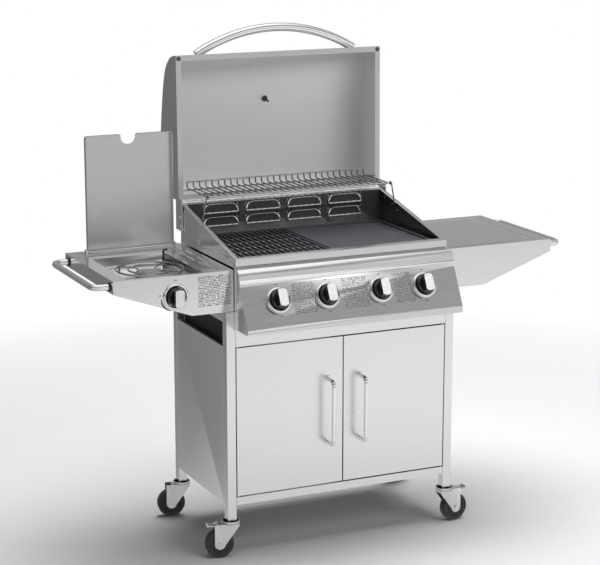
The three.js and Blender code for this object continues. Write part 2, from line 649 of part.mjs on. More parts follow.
// The line through the hood wall at the thermometer, outwards.
function thermometerAxis() {
  const outside = hoodOutside();
  const i = outside.findIndex((point) => point.x < THERMO.s);
  const [a, b] = [outside[i - 1], outside[i]];
  const mix = (a.x - THERMO.s) / (a.x - b.x);
  const [y0, z0] = hoodPoint(THERMO.s, a.y + (b.y - a.y) * mix);
  const along = b.clone().sub(a).normalize();
  const out = v(0, -along.x, along.y).normalize();
  const foot = v(0, y0, z0);
  return { out, at: (depth) => foot.clone().addScaledVector(out, depth) };
}

function makeThermometer({ out, at }) {
  const r = THERMO.radius;
  const dial = add('thermometer', turned([
    [0, -30], [2.5, -30], [2.5, -8], [9, -8], [9, -SHEET - GAP], [4, -SHEET - GAP], [4, GAP],
    [r - 4, GAP], [r, 3], [r, 10], [r - 3, 12], [0, 12],
  ], 24), chrome);
  dial.quaternion.setFromUnitVectors(v(0, 0, 1), out);
  dial.position.copy(at(0));
}

function makeHandle(outside) {
  const { tube, halfSpan, rise, t, foot } = HANDLE;
  const radius = (halfSpan ** 2 + rise ** 2) / (2 * rise);
  const [y, z] = hoodPoint(foot, t);
  const centre = z + rise - radius;
  const reach = Math.asin(halfSpan / radius) + 0.03;
  const steps = 18;
  const points = Array.from({ length: steps + 1 }, (_, i) => {
    const angle = (2 * i / steps - 1) * reach;
    return v(radius * Math.sin(angle), y, centre + radius * Math.cos(angle));
  });
  const lifted = outside.map((point) => hoodPoint(point.x + GAP, point.y + GAP));
  const under = [...lifted.slice(0, 12), hoodPoint(200, 0)];
  add('hood_handle', cut(join(bar(points, tube)), prism('x', under.reverse(), -290, 290)), chrome);
}

function makeHoodHinges() {
  const { halfWidth: w, pivotY, pivotZ, pin } = HOOD;
  const { y0, y1, z0, z1, plate0, plate1, nose, head } = HINGE;
  for (const [side, sign] of sides) {
    const [s0, s1] = span(sign, FIREBOX.halfWidth + GAP, w + plate1);
    const [p0, p1] = span(sign, w + plate0, w + plate1);
    add(`hood_hinge_${side}`, join(
      box(s0, s1, y0, y1, z0, z1),
      box(p0, p1, y0, pivotY + nose, z0, pivotZ + head),
      rod(v(sign * (w - 6), pivotY, pivotZ), v(sign * (w + 3), pivotY, pivotZ), pin, 16),
    ), zinc);
  }
}

// ---------------------------------------------------------------- warming rack

function makeWarmingRack() {
  const { halfWidth: w, wires, wire, front, rear, z, upturn, cross, pivotY, pivotX } = RACK;
  const h = wire / 2;
  const ell = [
    [front, z - h], [rear + h, z - h], [rear + h, z + upturn], [rear - h, z + upturn],
    [rear - h, z + h], [front, z + h],
  ];
  const pieces = [];
  for (let i = 0; i < wires; i++) {
    const x = -w + h + i * (2 * w - wire) / (wires - 1);
    pieces.push(prism('x', ell, x - h, x + h));
  }
  pieces.push(
    box(-w - 3, w + 3, front - h, front + h, z - h, z + h),
    box(-w, w, rear - h, rear + h, z + upturn - wire, z + upturn),
    box(-w, w, cross - h, cross + h, z - wire - h, z - h + 0.5),
    box(-pivotX, pivotX, pivotY - h, pivotY + h, z - wire - h, z - h + 0.5),
  );
  add('warming_rack', join(...pieces), chrome);
  // the swinging leg at each front corner
  for (const [side, sign] of sides) {
    const top = v(sign * RACK_LEG.x, front, z);
    const foot = v(sign * RACK_LEG.footX, front, RACK_LEG.footZ);
    add(`rack_leg_${side}`, join(
      rod(top.clone().add(v(0, 0, 3)), foot.clone().add(v(0, 0, -3)), RACK_LEG.wire / 2, 8),
      rod(foot, foot.clone().add(v(sign * RACK_LEG.foot, 0, 0)), RACK_LEG.wire / 2, 8),
    ), chrome);
  }
}

// ---------------------------------------------------------------- doors

function makeDoors() {
  const { edge, gap, middle, z0, z1, depth } = DOOR;
  const { x: hx, y: hy } = DOOR_HINGE;
  for (const [side, sign] of sides) {
    const inner = sign > 0 ? middle + gap / 2 : -middle + gap / 2;
    const [x0, x1] = span(sign, inner, edge);
    const pan = cut(
      join(box(x0, x1, 0, depth, z0, z1)),
      box(x0 + 2, x1 - 2, 1.5, depth + 1, z0 + 2, z1 - 2),
    );
    add(`door_${side}`, pan
      .add(solid(rod(v(sign * hx, hy, z0 - 2), v(sign * hx, hy, z0 + 6), 2, 12)))
      .add(solid(rod(v(sign * hx, hy, z1 - 6), v(sign * hx, hy, z1 + 2), 2, 12))), steel);
    const { x: off, z0: low, z1: high, reach, radius, bend } = DOOR_HANDLE;
    const x = sign * off + 2 * middle;
    const path = [v(x, -GAP, low), v(x, -reach, low), v(x, -reach, high), v(x, -GAP, high)];
    add(`door_handle_${side}`, bentBar(path, radius, bend), chrome);
  }
}

// ---------------------------------------------------------------- casters

// Built about its swivel axis, with the wheel trailing towards +X.
function casterFork() {
  const { trail, radius, width, plate, top, disc, hub } = CASTER;
  const inner = width / 2 + 1;
  const cheek = new THREE.Shape();
  cheek.moveTo(-20, 90);
  cheek.lineTo(-20, 84);
  cheek.lineTo(trail - 13, radius - 4);
  cheek.absarc(trail, radius, 14, Math.PI + 0.3, 2 * Math.PI, false);
  cheek.lineTo(trail + 14, 90);
  const cheekAt = (y) => prism('y', cheek.clone(), y, y + plate);
  return join(
    rod(v(0, 0, 88), v(0, 0, top), disc, 20),
    box(-20, trail - 1, -inner - plate, inner + plate, 84, 90),
    cheekAt(inner),
    cheekAt(-inner - plate),
    rod(v(trail, -inner - plate - 2, radius), v(trail, inner + plate + 2, radius), hub, 12),
    rod(v(0, 0, top - 1), v(0, 0, 126), 5.5, 10),
  );
}

function wheelBody() {
  const { radius, width, hub } = CASTER;
  const w = width / 2;
  const bore = hub + 0.5;
  return turned([
    [bore, -w], [12, -w], [26, -w + 3], [radius - 3, -w + 1], [radius, -w + 4], [radius, w - 4],
    [radius - 3, w - 1], [26, w - 3], [12, w], [bore, w], [bore, -w],
  ], 24);
}

function makeCasters() {
  const { halfWidth, depth, legSize } = CART;
  const { trail, radius, width, leftAngle, rightAngle } = CASTER;
  for (const [side, sign] of sides) {
    for (const [end, y] of [['front', legSize / 2], ['rear', depth - legSize / 2]]) {
      const caster = new THREE.Group();
      caster.position.set(sign * (halfWidth - legSize / 2), y, 0);
      caster.rotation.z = THREE.MathUtils.degToRad(sign > 0 ? rightAngle : leftAngle);
      grill.add(caster);
      add(`caster_fork_${end}_${side}`, casterFork(), zinc, caster);
      const wheel = add(`caster_wheel_${end}_${side}`, wheelBody(), tyre, caster);
      wheel.rotation.x = Math.PI / 2;
      wheel.position.set(trail, 0, radius);
      if (end === 'front') {
        const reach = width / 2;
        add(`caster_brake_${side}`, join(
          box(trail + 1, trail + 33, -reach + 1, reach - 1, 85, 88),
          box(trail + 30, trail + 33, -reach + 1, reach - 1, 85, 92),
          rod(v(trail + 8, -reach, 84), v(trail + 8, reach, 84), 3, 12),
        ), zinc, caster);
      }
    }
  }
}

makeLegs();
makeSidePanels();
makeRailsAndFloor();
makeFirebox();
makeBurners();
makeCookingSurfaces();
makeGreaseTray();
makeControlPanel();
makeGasTrain();
makeKnobs();
makeBurnerTable();
makeShelf();
makeTowelBars();
makeSideBurner();
makeBurnerLid();
makeHood();
makeHoodHinges();
makeWarmingRack();
makeDoors();
makeCasters();

grill.position.y = -BOX_MIDDLE_Y;

export default grill;
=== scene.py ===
import json
import math

import bmesh
import bpy
from bpy.props import FloatProperty, FloatVectorProperty, IntProperty, PointerProperty
from mathutils import Matrix, Vector

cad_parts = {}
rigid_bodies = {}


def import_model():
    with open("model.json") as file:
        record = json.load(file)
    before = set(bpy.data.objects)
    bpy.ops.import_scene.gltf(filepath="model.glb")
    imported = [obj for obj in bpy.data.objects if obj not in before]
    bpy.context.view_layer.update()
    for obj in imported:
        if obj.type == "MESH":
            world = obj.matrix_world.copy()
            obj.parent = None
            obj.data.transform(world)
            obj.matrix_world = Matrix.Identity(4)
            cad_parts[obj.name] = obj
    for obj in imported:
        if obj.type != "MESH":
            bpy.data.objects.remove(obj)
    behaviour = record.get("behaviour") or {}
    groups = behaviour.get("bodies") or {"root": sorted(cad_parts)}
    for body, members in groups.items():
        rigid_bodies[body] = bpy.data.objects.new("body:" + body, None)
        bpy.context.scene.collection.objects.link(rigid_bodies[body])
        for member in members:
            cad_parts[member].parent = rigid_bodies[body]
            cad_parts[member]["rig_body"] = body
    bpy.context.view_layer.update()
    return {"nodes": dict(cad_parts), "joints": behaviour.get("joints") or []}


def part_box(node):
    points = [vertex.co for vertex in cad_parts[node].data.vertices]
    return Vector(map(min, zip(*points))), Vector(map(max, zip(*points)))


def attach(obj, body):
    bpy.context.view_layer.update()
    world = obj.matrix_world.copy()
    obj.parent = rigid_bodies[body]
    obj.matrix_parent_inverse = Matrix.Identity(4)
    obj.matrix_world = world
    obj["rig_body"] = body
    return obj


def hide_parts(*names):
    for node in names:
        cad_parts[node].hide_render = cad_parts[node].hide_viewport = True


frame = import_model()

bl_info = {
    "name": "Gas Barbecue Grill",
    "version": (1, 0, 0),
    "blender": (4, 5, 0),
    "location": "View3D > Sidebar > Grill",
    "description": "Builds the finished surfaces of a gas barbecue grill round its CAD frame",
    "category": "Add Mesh",
}

CABINET_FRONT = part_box("leg_front_left")[0].y
SIDES = (("left", -1), ("right", 1))
ENDS = ("front", "rear")
BURNERS = range(1, 5)
UP = Vector((0, 0, 1))
DEEP = Vector((0, 1, 0))


def at(x, y, z):
    """A place measured from the cabinet's middle, its front face and the floor."""
    return Vector((x, CABINET_FRONT + y, z))


# ---------------------------------------------------------------- node trees as expressions


class Wire:
    """One output of a node. Arithmetic on it adds Math nodes."""

    def __init__(self, net, socket):
        self.net = net
        self.socket = socket

    def of(self, name):
        """Another output of the same node."""
        outputs = self.socket.node.outputs
        return Wire(self.net, next(s for s in outputs if s.name == name and s.enabled))

    def math(self, operation, *values):
        return self.net.add("ShaderNodeMath", {"operation": operation}, self, *values)

    def __add__(self, other):
        return self.math("ADD", other)

    __radd__ = __add__

    def __mul__(self, other):
        return self.math("MULTIPLY", other)

    __rmul__ = __mul__

    def __sub__(self, other):
        return self.math("SUBTRACT", other)

    def __rsub__(self, other):
        return self.net.add("ShaderNodeMath", {"operation": "SUBTRACT"}, other, self)

    def __gt__(self, other):
        return self.math("GREATER_THAN", other)

    def clamped(self):
        return self.net.add("ShaderNodeClamp", {}, self)


class Net:
    """A node tree that is being written."""

    def __init__(self, tree):
        self.tree = tree

    def add(self, kind, settings=None, *values, **named):
        """Adds a node: its settings first, then its sockets by order or by name."""
        node = self.tree.nodes.new(kind)
        for key, value in (settings or {}).items():
            setattr(node, key, value)
        for socket, value in zip([s for s in node.inputs if s.enabled], values):
            self.feed(socket, value)
        for key, value in named.items():
            label = key.replace("_", " ")
            self.feed(next(s for s in node.inputs if s.name == label and s.enabled), value)
        shown = [s for s in node.outputs if s.enabled]
        return Wire(self, shown[0]) if shown else None

    def feed(self, socket, value):
        if isinstance(value, Wire):
            self.tree.links.new(value.socket, socket)
        elif value is not None:
            socket.default_value = value

    def mixed(self, factor, a, b):
        """A colour between two others."""
        settings = {"data_type": "RGBA"}
        return self.add("ShaderNodeMix", settings, Factor=factor, A=opaque(a), B=opaque(b))


def opaque(colour):
    return colour if isinstance(colour, Wire) else (*colour[:3], 1)


def shade(colour, amount):
    """A colour made darker or lighter by a factor."""
    return tuple(min(1.0, channel * amount) for channel in colour[:3])


# ---------------------------------------------------------------- materials


def new_material(name):
    """An empty procedural material, its net and its object coordinates."""
    material = bpy.data.materials.new(name)
    material.use_nodes = True
    material.node_tree.nodes.clear()
    net = Net(material.node_tree)
    return material, net, net.add("ShaderNodeTexCoord").of("Object")


def close_material(net, bump=None, **sockets):
    """Ends a material in one Principled shader, with a bump if a height is given."""
    if bump is not None:
        height, distance, strength = bump
        sockets["Normal"] = net.add(
            "ShaderNodeBump", {}, Height=height, Distance=distance, Strength=strength
        )
    shader = net.add("ShaderNodeBsdfPrincipled", {}, **sockets)
    net.add("ShaderNodeOutputMaterial", {}, Surface=shader)


def noise(net, place, scale, detail=2.0, roughness=0.5):
    return net.add(
        "ShaderNodeTexNoise", {}, Vector=place, Scale=scale, Detail=detail, Roughness=roughness
    )


def stretched(net, place, axis, along, across):
    """Coordinates in which a noise becomes long streaks along one axis."""
    scale = [across, across, across]
    scale[axis] = along
    return net.add("ShaderNodeMapping", {}, Vector=place, Scale=scale)


def brushed_steel(name, colour, roughness, grain, metallic=1.0):
    """Satin stainless sheet: fine brush lines along the grain's axis and faint wipe marks."""
    material, net, place = new_material(name)
    lines = noise(net, stretched(net, place, grain, 4.0, 900.0), 1.0, 3.0, 0.6)
    bands = noise(net, stretched(net, place, grain, 1.2, 90.0), 1.0, 2.0)
    smudges = noise(net, place, 7.0, 3.0, 0.55)
    tone = (lines * 0.6 + bands * 0.4).clamped()
    base = net.mixed(tone, shade(colour, 0.96), shade(colour, 1.03))
    gloss = roughness + (lines - 0.5) * 0.1 + (smudges - 0.5) * 0.06
    close_material(
        net,
        bump=(lines, 0.0002, 0.016),
        Base_Color=base,
        Metallic=metallic,
        Roughness=gloss.clamped(),
    )
    return material


def polished_tube(name, colour, roughness):
    """Polished tube and wire: almost a mirror, with hairlines and a breath of haze."""
    material, net, place = new_material(name)
    haze = noise(net, place, 16.0, 3.0)
    hairs = noise(net, place, 420.0, 2.0)
    base = net.mixed(haze, shade(colour, 0.94), shade(colour, 1.03))
    gloss = roughness + (haze - 0.5) * 0.07 + (hairs - 0.5) * 0.05
    close_material(net, Base_Color=base, Metallic=1.0, Roughness=gloss.clamped())
    return material


def galvanised(name, colour):
    """Zinc-dipped sheet with its spangle of crystals."""
    material, net, place = new_material(name)
    cells = net.add("ShaderNodeTexVoronoi", {}, Vector=place, Scale=85.0)
    crystal = net.add("ShaderNodeSeparateColor", {}, cells.of("Color"))
    grime = noise(net, place, 9.0, 4.0)
    tone = (crystal * 0.65 + grime * 0.35).clamped()
    base = net.mixed(tone, shade(colour, 0.72), shade(colour, 1.1))
    gloss = 0.34 + crystal * 0.18 + (grime - 0.5) * 0.1
    close_material(
        net, bump=(crystal, 0.0001, 0.15), Base_Color=base, Metallic=1.0, Roughness=gloss
    )
    return material


def enamel(name, colour, roughness):
    """Vitreous enamel: glossy black with an orange-peel skin and pale specks."""
    material, net, place = new_material(name)
    peel = noise(net, place, 260.0, 2.0)
    specks = noise(net, place, 900.0, 1.0) > 0.71
    cloud = noise(net, place, 11.0, 4.0)
    base = net.mixed(cloud, shade(colour, 0.75), shade(colour, 1.35))
    speckled = net.mixed(specks * 0.5, base, (0.34, 0.34, 0.36))
    gloss = roughness + (cloud - 0.5) * 0.16
    close_material(
        net,
        bump=(peel, 0.0004, 0.18),
        Base_Color=speckled,
        Roughness=gloss.clamped(),
        Coat_Weight=0.25,
        Coat_Roughness=0.12,
    )
    return material


def cast_iron(name, colour):
    """Cast iron under a thin enamel: pebbled, with worn lighter high spots."""
    material, net, place = new_material(name)
    pebble = noise(net, place, 480.0, 4.0, 0.6)
    patches = noise(net, place, 24.0, 4.0, 0.6)
    worn = (((pebble - 0.56) * 6.0).clamped() * patches).clamped()
    base = net.mixed(worn, shade(colour, 0.8), shade(colour, 2.4))
    gloss = 0.46 + (patches - 0.5) * 0.25
    close_material(
        net, bump=(pebble, 0.0006, 0.35), Base_Color=base, Metallic=0.15, Roughness=gloss.clamped()
    )
    return material


def heated_steel(name, colour, grain):
    """Steel that sits in the flame: straw and blue temper bands over brushed metal."""
    material, net, place = new_material(name)
    heat = noise(net, place, 6.5, 3.0)
    lines = noise(net, stretched(net, place, grain, 5.0, 600.0), 1.0, 2.0)
    straw = net.mixed(((heat - 0.42) * 4.0).clamped(), colour, (0.50, 0.40, 0.26))
    blue = net.mixed(((heat - 0.60) * 6.0).clamped(), straw, (0.24, 0.26, 0.36))
    gloss = 0.3 + (lines - 0.5) * 0.2 + (heat - 0.5) * 0.2
    close_material(
        net, bump=(lines, 0.0002, 0.1), Base_Color=blue, Metallic=1.0, Roughness=gloss.clamped()
    )
    return material


def plated(name, colour, roughness):
    """Zinc or brass parts: a fine crystalline plating with handling marks."""
    material, net, place = new_material(name)
    grain = noise(net, place, 520.0, 3.0)
    marks = noise(net, place, 30.0, 4.0)
    base = net.mixed(marks, shade(colour, 0.82), shade(colour, 1.08))
    gloss = roughness + (grain - 0.5) * 0.2 + (marks - 0.5) * 0.14
    close_material(
        net, bump=(grain, 0.0002, 0.12), Base_Color=base, Metallic=1.0, Roughness=gloss.clamped()
    )
    return material


def moulded_plastic(name, colour, roughness):
    """Black moulded plastic with a fine spark-eroded grain."""
    material, net, place = new_material(name)
    grain = noise(net, place, 1400.0, 2.0)
    sheen = noise(net, place, 40.0, 2.0)
    base = net.mixed(sheen, shade(colour, 0.8), shade(colour, 1.3))
    gloss = roughness + (sheen - 0.5) * 0.15
    close_material(
        net, bump=(grain, 0.0002, 0.15), Base_Color=base, Roughness=gloss.clamped()
    )
    return material


def silver_paint(name, colour):
    """Plastic under a silver lacquer: fine flakes and a clear coat."""
    material, net, place = new_material(name)
    flakes = noise(net, place, 2400.0, 1.0)
    cloud = noise(net, place, 60.0, 2.0)
    tone = (flakes * 0.7 + cloud * 0.3).clamped()
    base = net.mixed(tone, shade(colour, 0.9), shade(colour, 1.06))
    close_material(
        net,
        bump=(flakes, 0.0001, 0.05),
        Base_Color=base,
        Metallic=0.35,
        Roughness=(0.26 + (cloud - 0.5) * 0.12).clamped(),
        Coat_Weight=0.4,
        Coat_Roughness=0.08,
    )
    return material


def rubber(name, colour):
    """Matt black rubber, and the near-black sheets of painted shade, with lighter dusty patches.
    """
    material, net, place = new_material(name)
    grain = noise(net, place, 900.0, 3.0)
    dust = noise(net, place, 45.0, 4.0, 0.6)
    base = net.mixed(((dust - 0.5) * 2.2).clamped(), colour, shade(colour, 2.6))
    close_material(
        net, bump=(grain, 0.0003, 0.25), Base_Color=base, Roughness=0.62 + (dust - 0.5) * 0.3
    )
    return material


def printed_ink(name, colour):
    """Screen-printed ink, a little uneven in its density."""
    material, net, place = new_material(name)
    density = noise(net, place, 1100.0, 2.0)
    base = net.mixed(density, colour, shade(colour, 3.0))
    close_material(net, Base_Color=base, Roughness=0.42 + density * 0.1)
    return material


def dial_paper(name, colour):
    """A matt printed dial under a clear varnish."""
    material, net, place = new_material(name)
    fibres = noise(net, place, 700.0, 3.0)
    base = net.mixed(fibres, shade(colour, 0.94), colour)
    close_material(
        net, Base_Color=base, Roughness=0.5 + fibres * 0.1, Coat_Weight=1.0, Coat_Roughness=0.04
    )
    return material


# ---------------------------------------------------------------- shapes


def add_faces(shape, points, faces):
    """Adds vertices and faces to a bmesh and returns the vertices."""
    corners = [shape.verts.new(point) for point in points]
    for face in faces:
        shape.faces.new([corners[i] for i in face])
    return corners


def add_box(shape, low, high):
    x0, y0, z0 = low
    x1, y1, z1 = high
    points = [(x, y, z) for x in (x0, x1) for y in (y0, y1) for z in (z0, z1)]
    faces = [(0, 1, 3, 2), (4, 6, 7, 5), (0, 4, 5, 1), (2, 3, 7, 6), (0, 2, 6, 4), (1, 5, 7, 3)]
    return add_faces(shape, points, faces)


def add_prism(shape, outline, low, high, place):
    """An outline of (a, b) points pulled from low to high; place(a, b, h) gives each corner."""
    count = len(outline)
    points = [place(a, b, h) for h in (low, high) for a, b in outline]
    walls = [(i, (i + 1) % count, count + (i + 1) % count, count + i) for i in range(count)]
    caps = [tuple(range(count)), tuple(range(count, 2 * count))]
    return add_faces(shape, points, walls + caps)


def add_tube(shape, path, radius, sides=24):
    """A round bar along a list of points, carried without twist and closed at its ends."""
    tangents = [
        (path[min(i + 1, len(path) - 1)] - path[max(i - 1, 0)]).normalized()
        for i in range(len(path))
    ]
    across = tangents[0].orthogonal().normalized()
    rings = []
    for point, tangent in zip(path, tangents):
        across = (across - tangent * across.dot(tangent)).normalized()
        other = tangent.cross(across)
        rings.append(
            [
                point + (across * math.cos(turn) + other * math.sin(turn)) * radius
                for turn in (2 * math.pi * k / sides for k in range(sides))
            ]
        )
    last = (len(rings) - 1) * sides
    faces = []
    for start in range(0, last, sides):
        for k in range(sides):
            here, there = start + k, start + (k + 1) % sides
            faces.append((here, there, there + sides, here + sides))
    faces += [tuple(reversed(range(sides))), tuple(range(last, last + sides))]
    return add_faces(shape, [point for ring in rings for point in ring], faces)


def add_turned(shape, profile, segments=48, matrix=Matrix()):
    """A turned solid about Z; the profile's first and last (radius, height) lie on the axis."""
    first = shape.verts.new(matrix @ Vector((0, 0, profile[0][1])))
    last = shape.verts.new(matrix @ Vector((0, 0, profile[-1][1])))
    rings = []
    for radius, height in profile[1:-1]:
        rings.append(
            [
                shape.verts.new(
                    matrix @ Vector((radius * math.cos(turn), radius * math.sin(turn), height))
                )
                for turn in (2 * math.pi * k / segments for k in range(segments))
            ]
        )
    for k in range(segments):
        nxt = (k + 1) % segments
        shape.faces.new((first, rings[0][nxt], rings[0][k]))
        shape.faces.new((last, rings[-1][k], rings[-1][nxt]))
        for lower, upper in zip(rings, rings[1:]):
            shape.faces.new((lower[k], lower[nxt], upper[nxt], upper[k]))


def add_ring(shape, profile, segments=48, matrix=Matrix()):
    """A turned ring about Z; the profile is a closed loop of (radius, height)."""
    rings = [
        [
            shape.verts.new(matrix @ Vector((r * math.cos(turn), r * math.sin(turn), h)))
            for r, h in profile
        ]
        for turn in (2 * math.pi * k / segments for k in range(segments))
    ]
    count = len(profile)
    for k in range(segments):
        here, there = rings[k], rings[(k + 1) % segments]
        for i in range(count):
            j = (i + 1) % count
            shape.faces.new((here[i], there[i], there[j], here[j]))


def round_section(radius, height, thickness, steps=12):
    """The closed round profile of a wire ring."""
    return [
        (
            radius + thickness * math.cos(2 * math.pi * k / steps),
            height + thickness * math.sin(2 * math.pi * k / steps),
        )
        for k in range(steps)
    ]


def collar_profile(radius, wall, height):
    """The section of a collar round a bar, with its outer corner cut off."""
    gap, cut = 0.0002, 0.0012
    return [
        (radius + gap, 0.0), (radius + wall, 0.0), (radius + wall, height - cut),
        (radius + wall - cut, height), (radius + gap, height),
    ]


def hexagon(radius):
    """The outline of a nut."""
    turns = [math.pi * k / 3 for k in range(6)]
    return [(radius * math.cos(turn), radius * math.sin(turn)) for turn in turns]


def laid_on(matrix):
    """The place function of a prism that stands on a matrix's XY plane."""
    return lambda a, b, h: matrix @ Vector((a, b, h))


def standing(place, direction, side="Y"):
    """A matrix at a place with its Z axis along a direction."""
    return Matrix.Translation(place) @ direction.to_track_quat("Z", side).to_matrix().to_4x4()


def bent_path(corners, bend, steps=10):
    """Straight runs whose corners are rounded, as a list of points."""
    path = [corners[0]]
    for before, corner, after in zip(corners, corners[1:], corners[2:]):
        start = corner + (before - corner).normalized() * bend
        end = corner + (after - corner).normalized() * bend
        for k in range(steps + 1):
            t = k / steps
            path.append(start.lerp(corner, t).lerp(corner.lerp(end, t), t))
    path.append(corners[-1])
    return path


def smooth_through(points, steps):
    """A Catmull-Rom line through (a, b) points, with that many steps for each stretch."""
    ends = [points[0], *points, points[-1]]
    line = []
    for p0, p1, p2, p3 in zip(ends, ends[1:], ends[2:], ends[3:]):
        for k in range(steps):
            t = k / steps
            line.append(
                tuple(
                    0.5 * (2 * b + (c - a) * t + (2 * a - 5 * b + 4 * c - d) * t**2
                           + (3 * b - a - 3 * c + d) * t**3)
                    for a, b, c, d in zip(p0, p1, p2, p3)
                )
            )
    return [*line, points[-1]]


# ---------------------------------------------------------------- pieces


SHARP = math.radians(32)
MERGE = 2e-5


def plain_object(name, shape, materials, outward=True):
    """An object at the origin made from a bmesh, with its faces turned outwards."""
    if outward:
        bmesh.ops.recalc_face_normals(shape, faces=shape.faces)
    mesh = bpy.data.meshes.new(name)
    shape.to_mesh(mesh)
    shape.free()
    for material in materials if isinstance(materials, (list, tuple)) else [materials]:
        mesh.materials.append(material)
    for face in mesh.polygons:
        face.use_smooth = True
    mesh.set_sharp_from_angle(angle=SHARP)
    obj = bpy.data.objects.new(name, mesh)
    bpy.context.scene.collection.objects.link(obj)
    return obj


def soften_edges(obj, width, segments=2):
    """Rounds the sharp edges, as folded and ground metal has them."""
    bevel = obj.modifiers.new("edges", "BEVEL")
    bevel.width = width
    bevel.segments = segments
    bevel.limit_method = "ANGLE"
    bevel.angle_limit = SHARP
    bevel.miter_outer = "MITER_ARC"
    bevel.harden_normals = True


def hand_over(obj, body, nodes=()):
    """Gives a finished piece to its body and the nodes that it stands for."""
    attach(obj, body)
    if nodes:
        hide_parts(*nodes)
    return obj


def body_of_node(node):
    return frame["nodes"][node]["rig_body"]


def refined(node, material, width=0.0006, choose=None):
    """A CAD node's own shape with merged corners and softened edges."""
    shape = bmesh.new()
    shape.from_mesh(frame["nodes"][node].data)
    bmesh.ops.remove_doubles(shape, verts=shape.verts, dist=MERGE)
    if choose:
        for face in shape.faces:
            face.material_index = choose(face.calc_center_median(), face.normal)
    obj = plain_object(f"{node}_finished", shape, material, outward=False)
    if width:
        soften_edges(obj, width)
    return hand_over(obj, body_of_node(node), [node])


# ---------------------------------------------------------------- geometry node trees


def geometry_tree(name, inputs):
    """A geometry node tree with a Geometry input, the named inputs and one output."""
    tree = bpy.data.node_groups.new(name, "GeometryNodeTree")
    tree.interface.new_socket(name="Geometry", in_out="INPUT", socket_type="NodeSocketGeometry")
    for label, kind in inputs:
        tree.interface.new_socket(name=label, in_out="INPUT", socket_type=f"NodeSocket{kind}")
    tree.interface.new_socket(name="Geometry", in_out="OUTPUT", socket_type="NodeSocketGeometry")
    net = Net(tree)
    return tree, net, net.add("NodeGroupInput")


def close_tree(net, given, instances):
    """Ends a tree in real geometry with its material."""
    real = net.add("GeometryNodeRealizeInstances", {}, instances)
    painted = net.add("GeometryNodeSetMaterial", {}, real, Material=given.of("Material"))
    net.add("NodeGroupOutput", {}, painted)


def rows_tree():
    """Copies the given geometry in two directions."""
    tree, net, given = geometry_tree(
        "Copies in rows",
        [("Count A", "Int"), ("Step A", "Vector"), ("Count B", "Int"), ("Step B", "Vector"),
         ("Material", "Material")],
    )
    shape = given.of("Geometry")
    for letter in "AB":
        line = net.add(
            "GeometryNodeMeshLine", {"mode": "OFFSET"},
            Count=given.of(f"Count {letter}"), Offset=given.of(f"Step {letter}"),
        )
        placed = net.add("GeometryNodeInstanceOnPoints", {}, line, Instance=shape)
        shape = net.add("GeometryNodeRealizeInstances", {}, placed)
    close_tree(net, given, shape)
    return tree


def circle_tree():
    """Copies the given geometry round the Z axis, through part of a turn."""
    tree, net, given = geometry_tree(
        "Copies round an axis",
        [("Count", "Int"), ("Step", "Float"), ("Material", "Material")],
    )
    line = net.add(
        "GeometryNodeMeshLine", {"mode": "OFFSET"}, Count=given.of("Count"), Offset=(0, 0, 0)
    )
    index = net.add("GeometryNodeInputIndex")
    turn = net.add("ShaderNodeCombineXYZ", {}, Z=index * given.of("Step"))
    spun = net.add(
        "GeometryNodeInstanceOnPoints", {}, line, Instance=given.of("Geometry"), Rotation=turn
    )
    close_tree(net, given, spun)
    return tree


def heads_tree():
    """Puts a domed screw head on each given point, along its 'facing' attribute."""
    tree, net, given = geometry_tree(
        "Screw heads",
        [("Radius", "Float"), ("Height", "Float"), ("Material", "Material")],
    )
    radius = given.of("Radius")
    height = given.of("Height")
    base = net.add(
        "GeometryNodeMeshCone", {}, Vertices=16, Side_Segments=1, Radius_Top=radius * 0.92,
        Radius_Bottom=radius, Depth=height * 0.55,
    )
    crown = net.add(
        "GeometryNodeMeshCone", {}, Vertices=16, Side_Segments=1, Radius_Top=radius * 0.55,
        Radius_Bottom=radius * 0.9, Depth=height * 0.45,
    )
    lift = net.add("ShaderNodeCombineXYZ", {}, Z=height * 0.56)
    raised = net.add("GeometryNodeTransform", {}, crown, Translation=lift)
    head = net.add("GeometryNodeJoinGeometry", {}, base)
    net.tree.links.new(raised.socket, head.socket.node.inputs[0])
    facing = net.add(
        "GeometryNodeInputNamedAttribute", {"data_type": "FLOAT_VECTOR"}, Name="facing"
    )
    turn = net.add("FunctionNodeAlignRotationToVector", {"axis": "Z"}, Vector=facing)
    placed = net.add(
        "GeometryNodeInstanceOnPoints", {}, given.of("Geometry"), Instance=head, Rotation=turn
    )
    close_tree(net, given, placed)
    return tree


DRIFT = 0.0017


